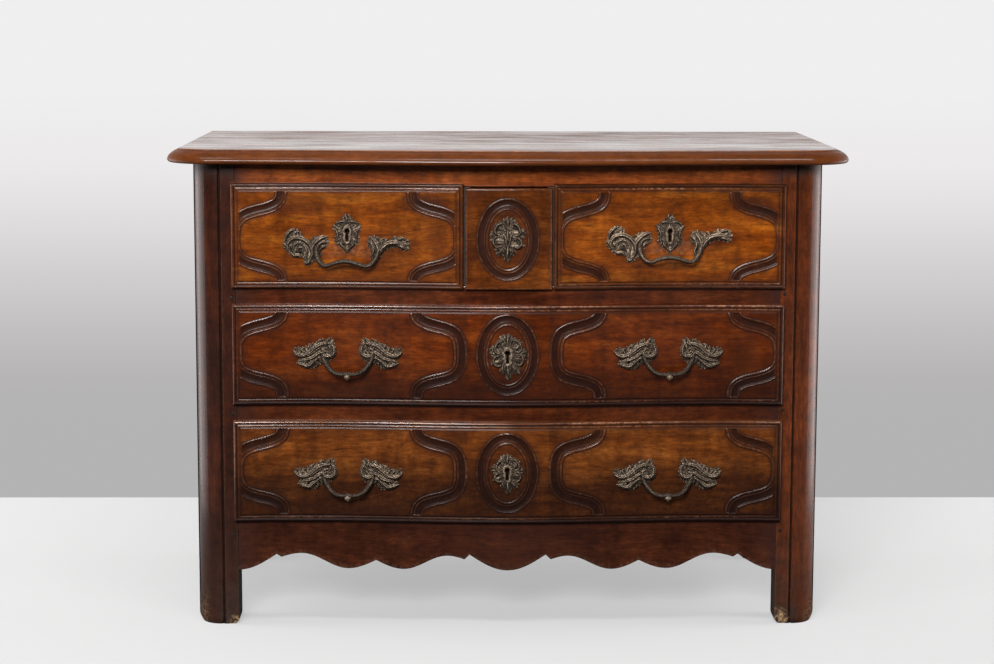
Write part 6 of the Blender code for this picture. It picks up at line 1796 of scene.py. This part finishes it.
def soft_lamp(name, place, aim, size, power):
    """A rectangular soft lamp at a place, turned to shine at a point."""
    data = bpy.data.lights.new(name, "AREA")
    data.shape = "RECTANGLE"
    data.size, data.size_y = size
    data.energy = power
    lamp = bpy.data.objects.new(name, data)
    bpy.context.scene.collection.objects.link(lamp)
    lamp.location = place
    away = np.asarray(place, float) - np.asarray(aim, float)
    away /= np.linalg.norm(away)
    right = np.cross((0, 0, 1), away)
    right /= np.linalg.norm(right)
    turn = np.stack([right, np.cross(away, right), away], 1)
    lamp.rotation_euler = Matrix(turn.tolist()).to_euler()
    return lamp


soft_lamp("lamp_front", (-0.7, -4.2, 2.3), (0.0, -0.25, 0.5), (1.6, 1.1), 215)
soft_lamp("lamp_above", (-0.1, -1.2, 2.9), (0.0, -0.35, 0.5), (2.4, 0.45), 40)
for side, hand in HANDS:
    fill = soft_lamp("lamp_" + hand, (3.0 * side, 0.05, 1.0), (0.5 * side, -0.1, 0.5), (1.0, 1.8), 62)
    fill.visible_glossy = False
    strip = soft_lamp("strip_" + hand, (1.50 * side, 0.05, 0.44), (0.55 * side, 0.0, 0.44), (1.1, 0.86), 11)
    strip.visible_diffuse = False
    strip.visible_camera = False


def studio_air():
    """Pale where the camera looks past the sweep, and a dim even fill on everything else."""
    world = bpy.data.worlds.new("studio_air")
    bpy.context.scene.world = world
    world.use_nodes = True
    tree = world.node_tree
    air = tree.nodes["Background"]
    path = tree.nodes.new("ShaderNodeLightPath")
    tone = mixed(tree, path.outputs["Is Camera Ray"], (0.06, 0.06, 0.06, 1.0), (0.86, 0.86, 0.86, 1.0))
    tree.links.new(tone, air.inputs["Color"])
    return world


studio_air()

PICTURE_WIDTH = 994
FOCAL_PIXELS = 2183.6
AXIS_ABOVE_MIDDLE = 46.4
CAMERA_PLACE = (-0.0692, FRONT_Y - 4.0168, 1.1723)
TILT_DOWN = 0.13018
TURN_LEFT = -0.01199
ROLL = 0.00254
level = np.array([-np.sin(TURN_LEFT), np.cos(TURN_LEFT), 0])
flat_right = np.array([np.cos(TURN_LEFT), np.sin(TURN_LEFT), 0])
ahead = level * np.cos(TILT_DOWN) - np.array([0, 0, np.sin(TILT_DOWN)])
upright = level * np.sin(TILT_DOWN) + np.array([0, 0, np.cos(TILT_DOWN)])
right = flat_right * np.cos(ROLL) + upright * np.sin(ROLL)
up = upright * np.cos(ROLL) - flat_right * np.sin(ROLL)
camera_data = bpy.data.cameras.new("camera")
camera_data.sensor_width = 36.0
camera_data.lens = FOCAL_PIXELS / PICTURE_WIDTH * 36.0
camera_data.shift_y = -AXIS_ABOVE_MIDDLE / PICTURE_WIDTH
camera = bpy.data.objects.new("camera", camera_data)
bpy.context.scene.collection.objects.link(camera)
camera.location = CAMERA_PLACE
camera.rotation_euler = Matrix(np.stack([right, up, -ahead], 1).tolist()).to_euler()
bpy.context.scene.camera = camera
bpy.context.scene.view_settings.view_transform = "Standard"
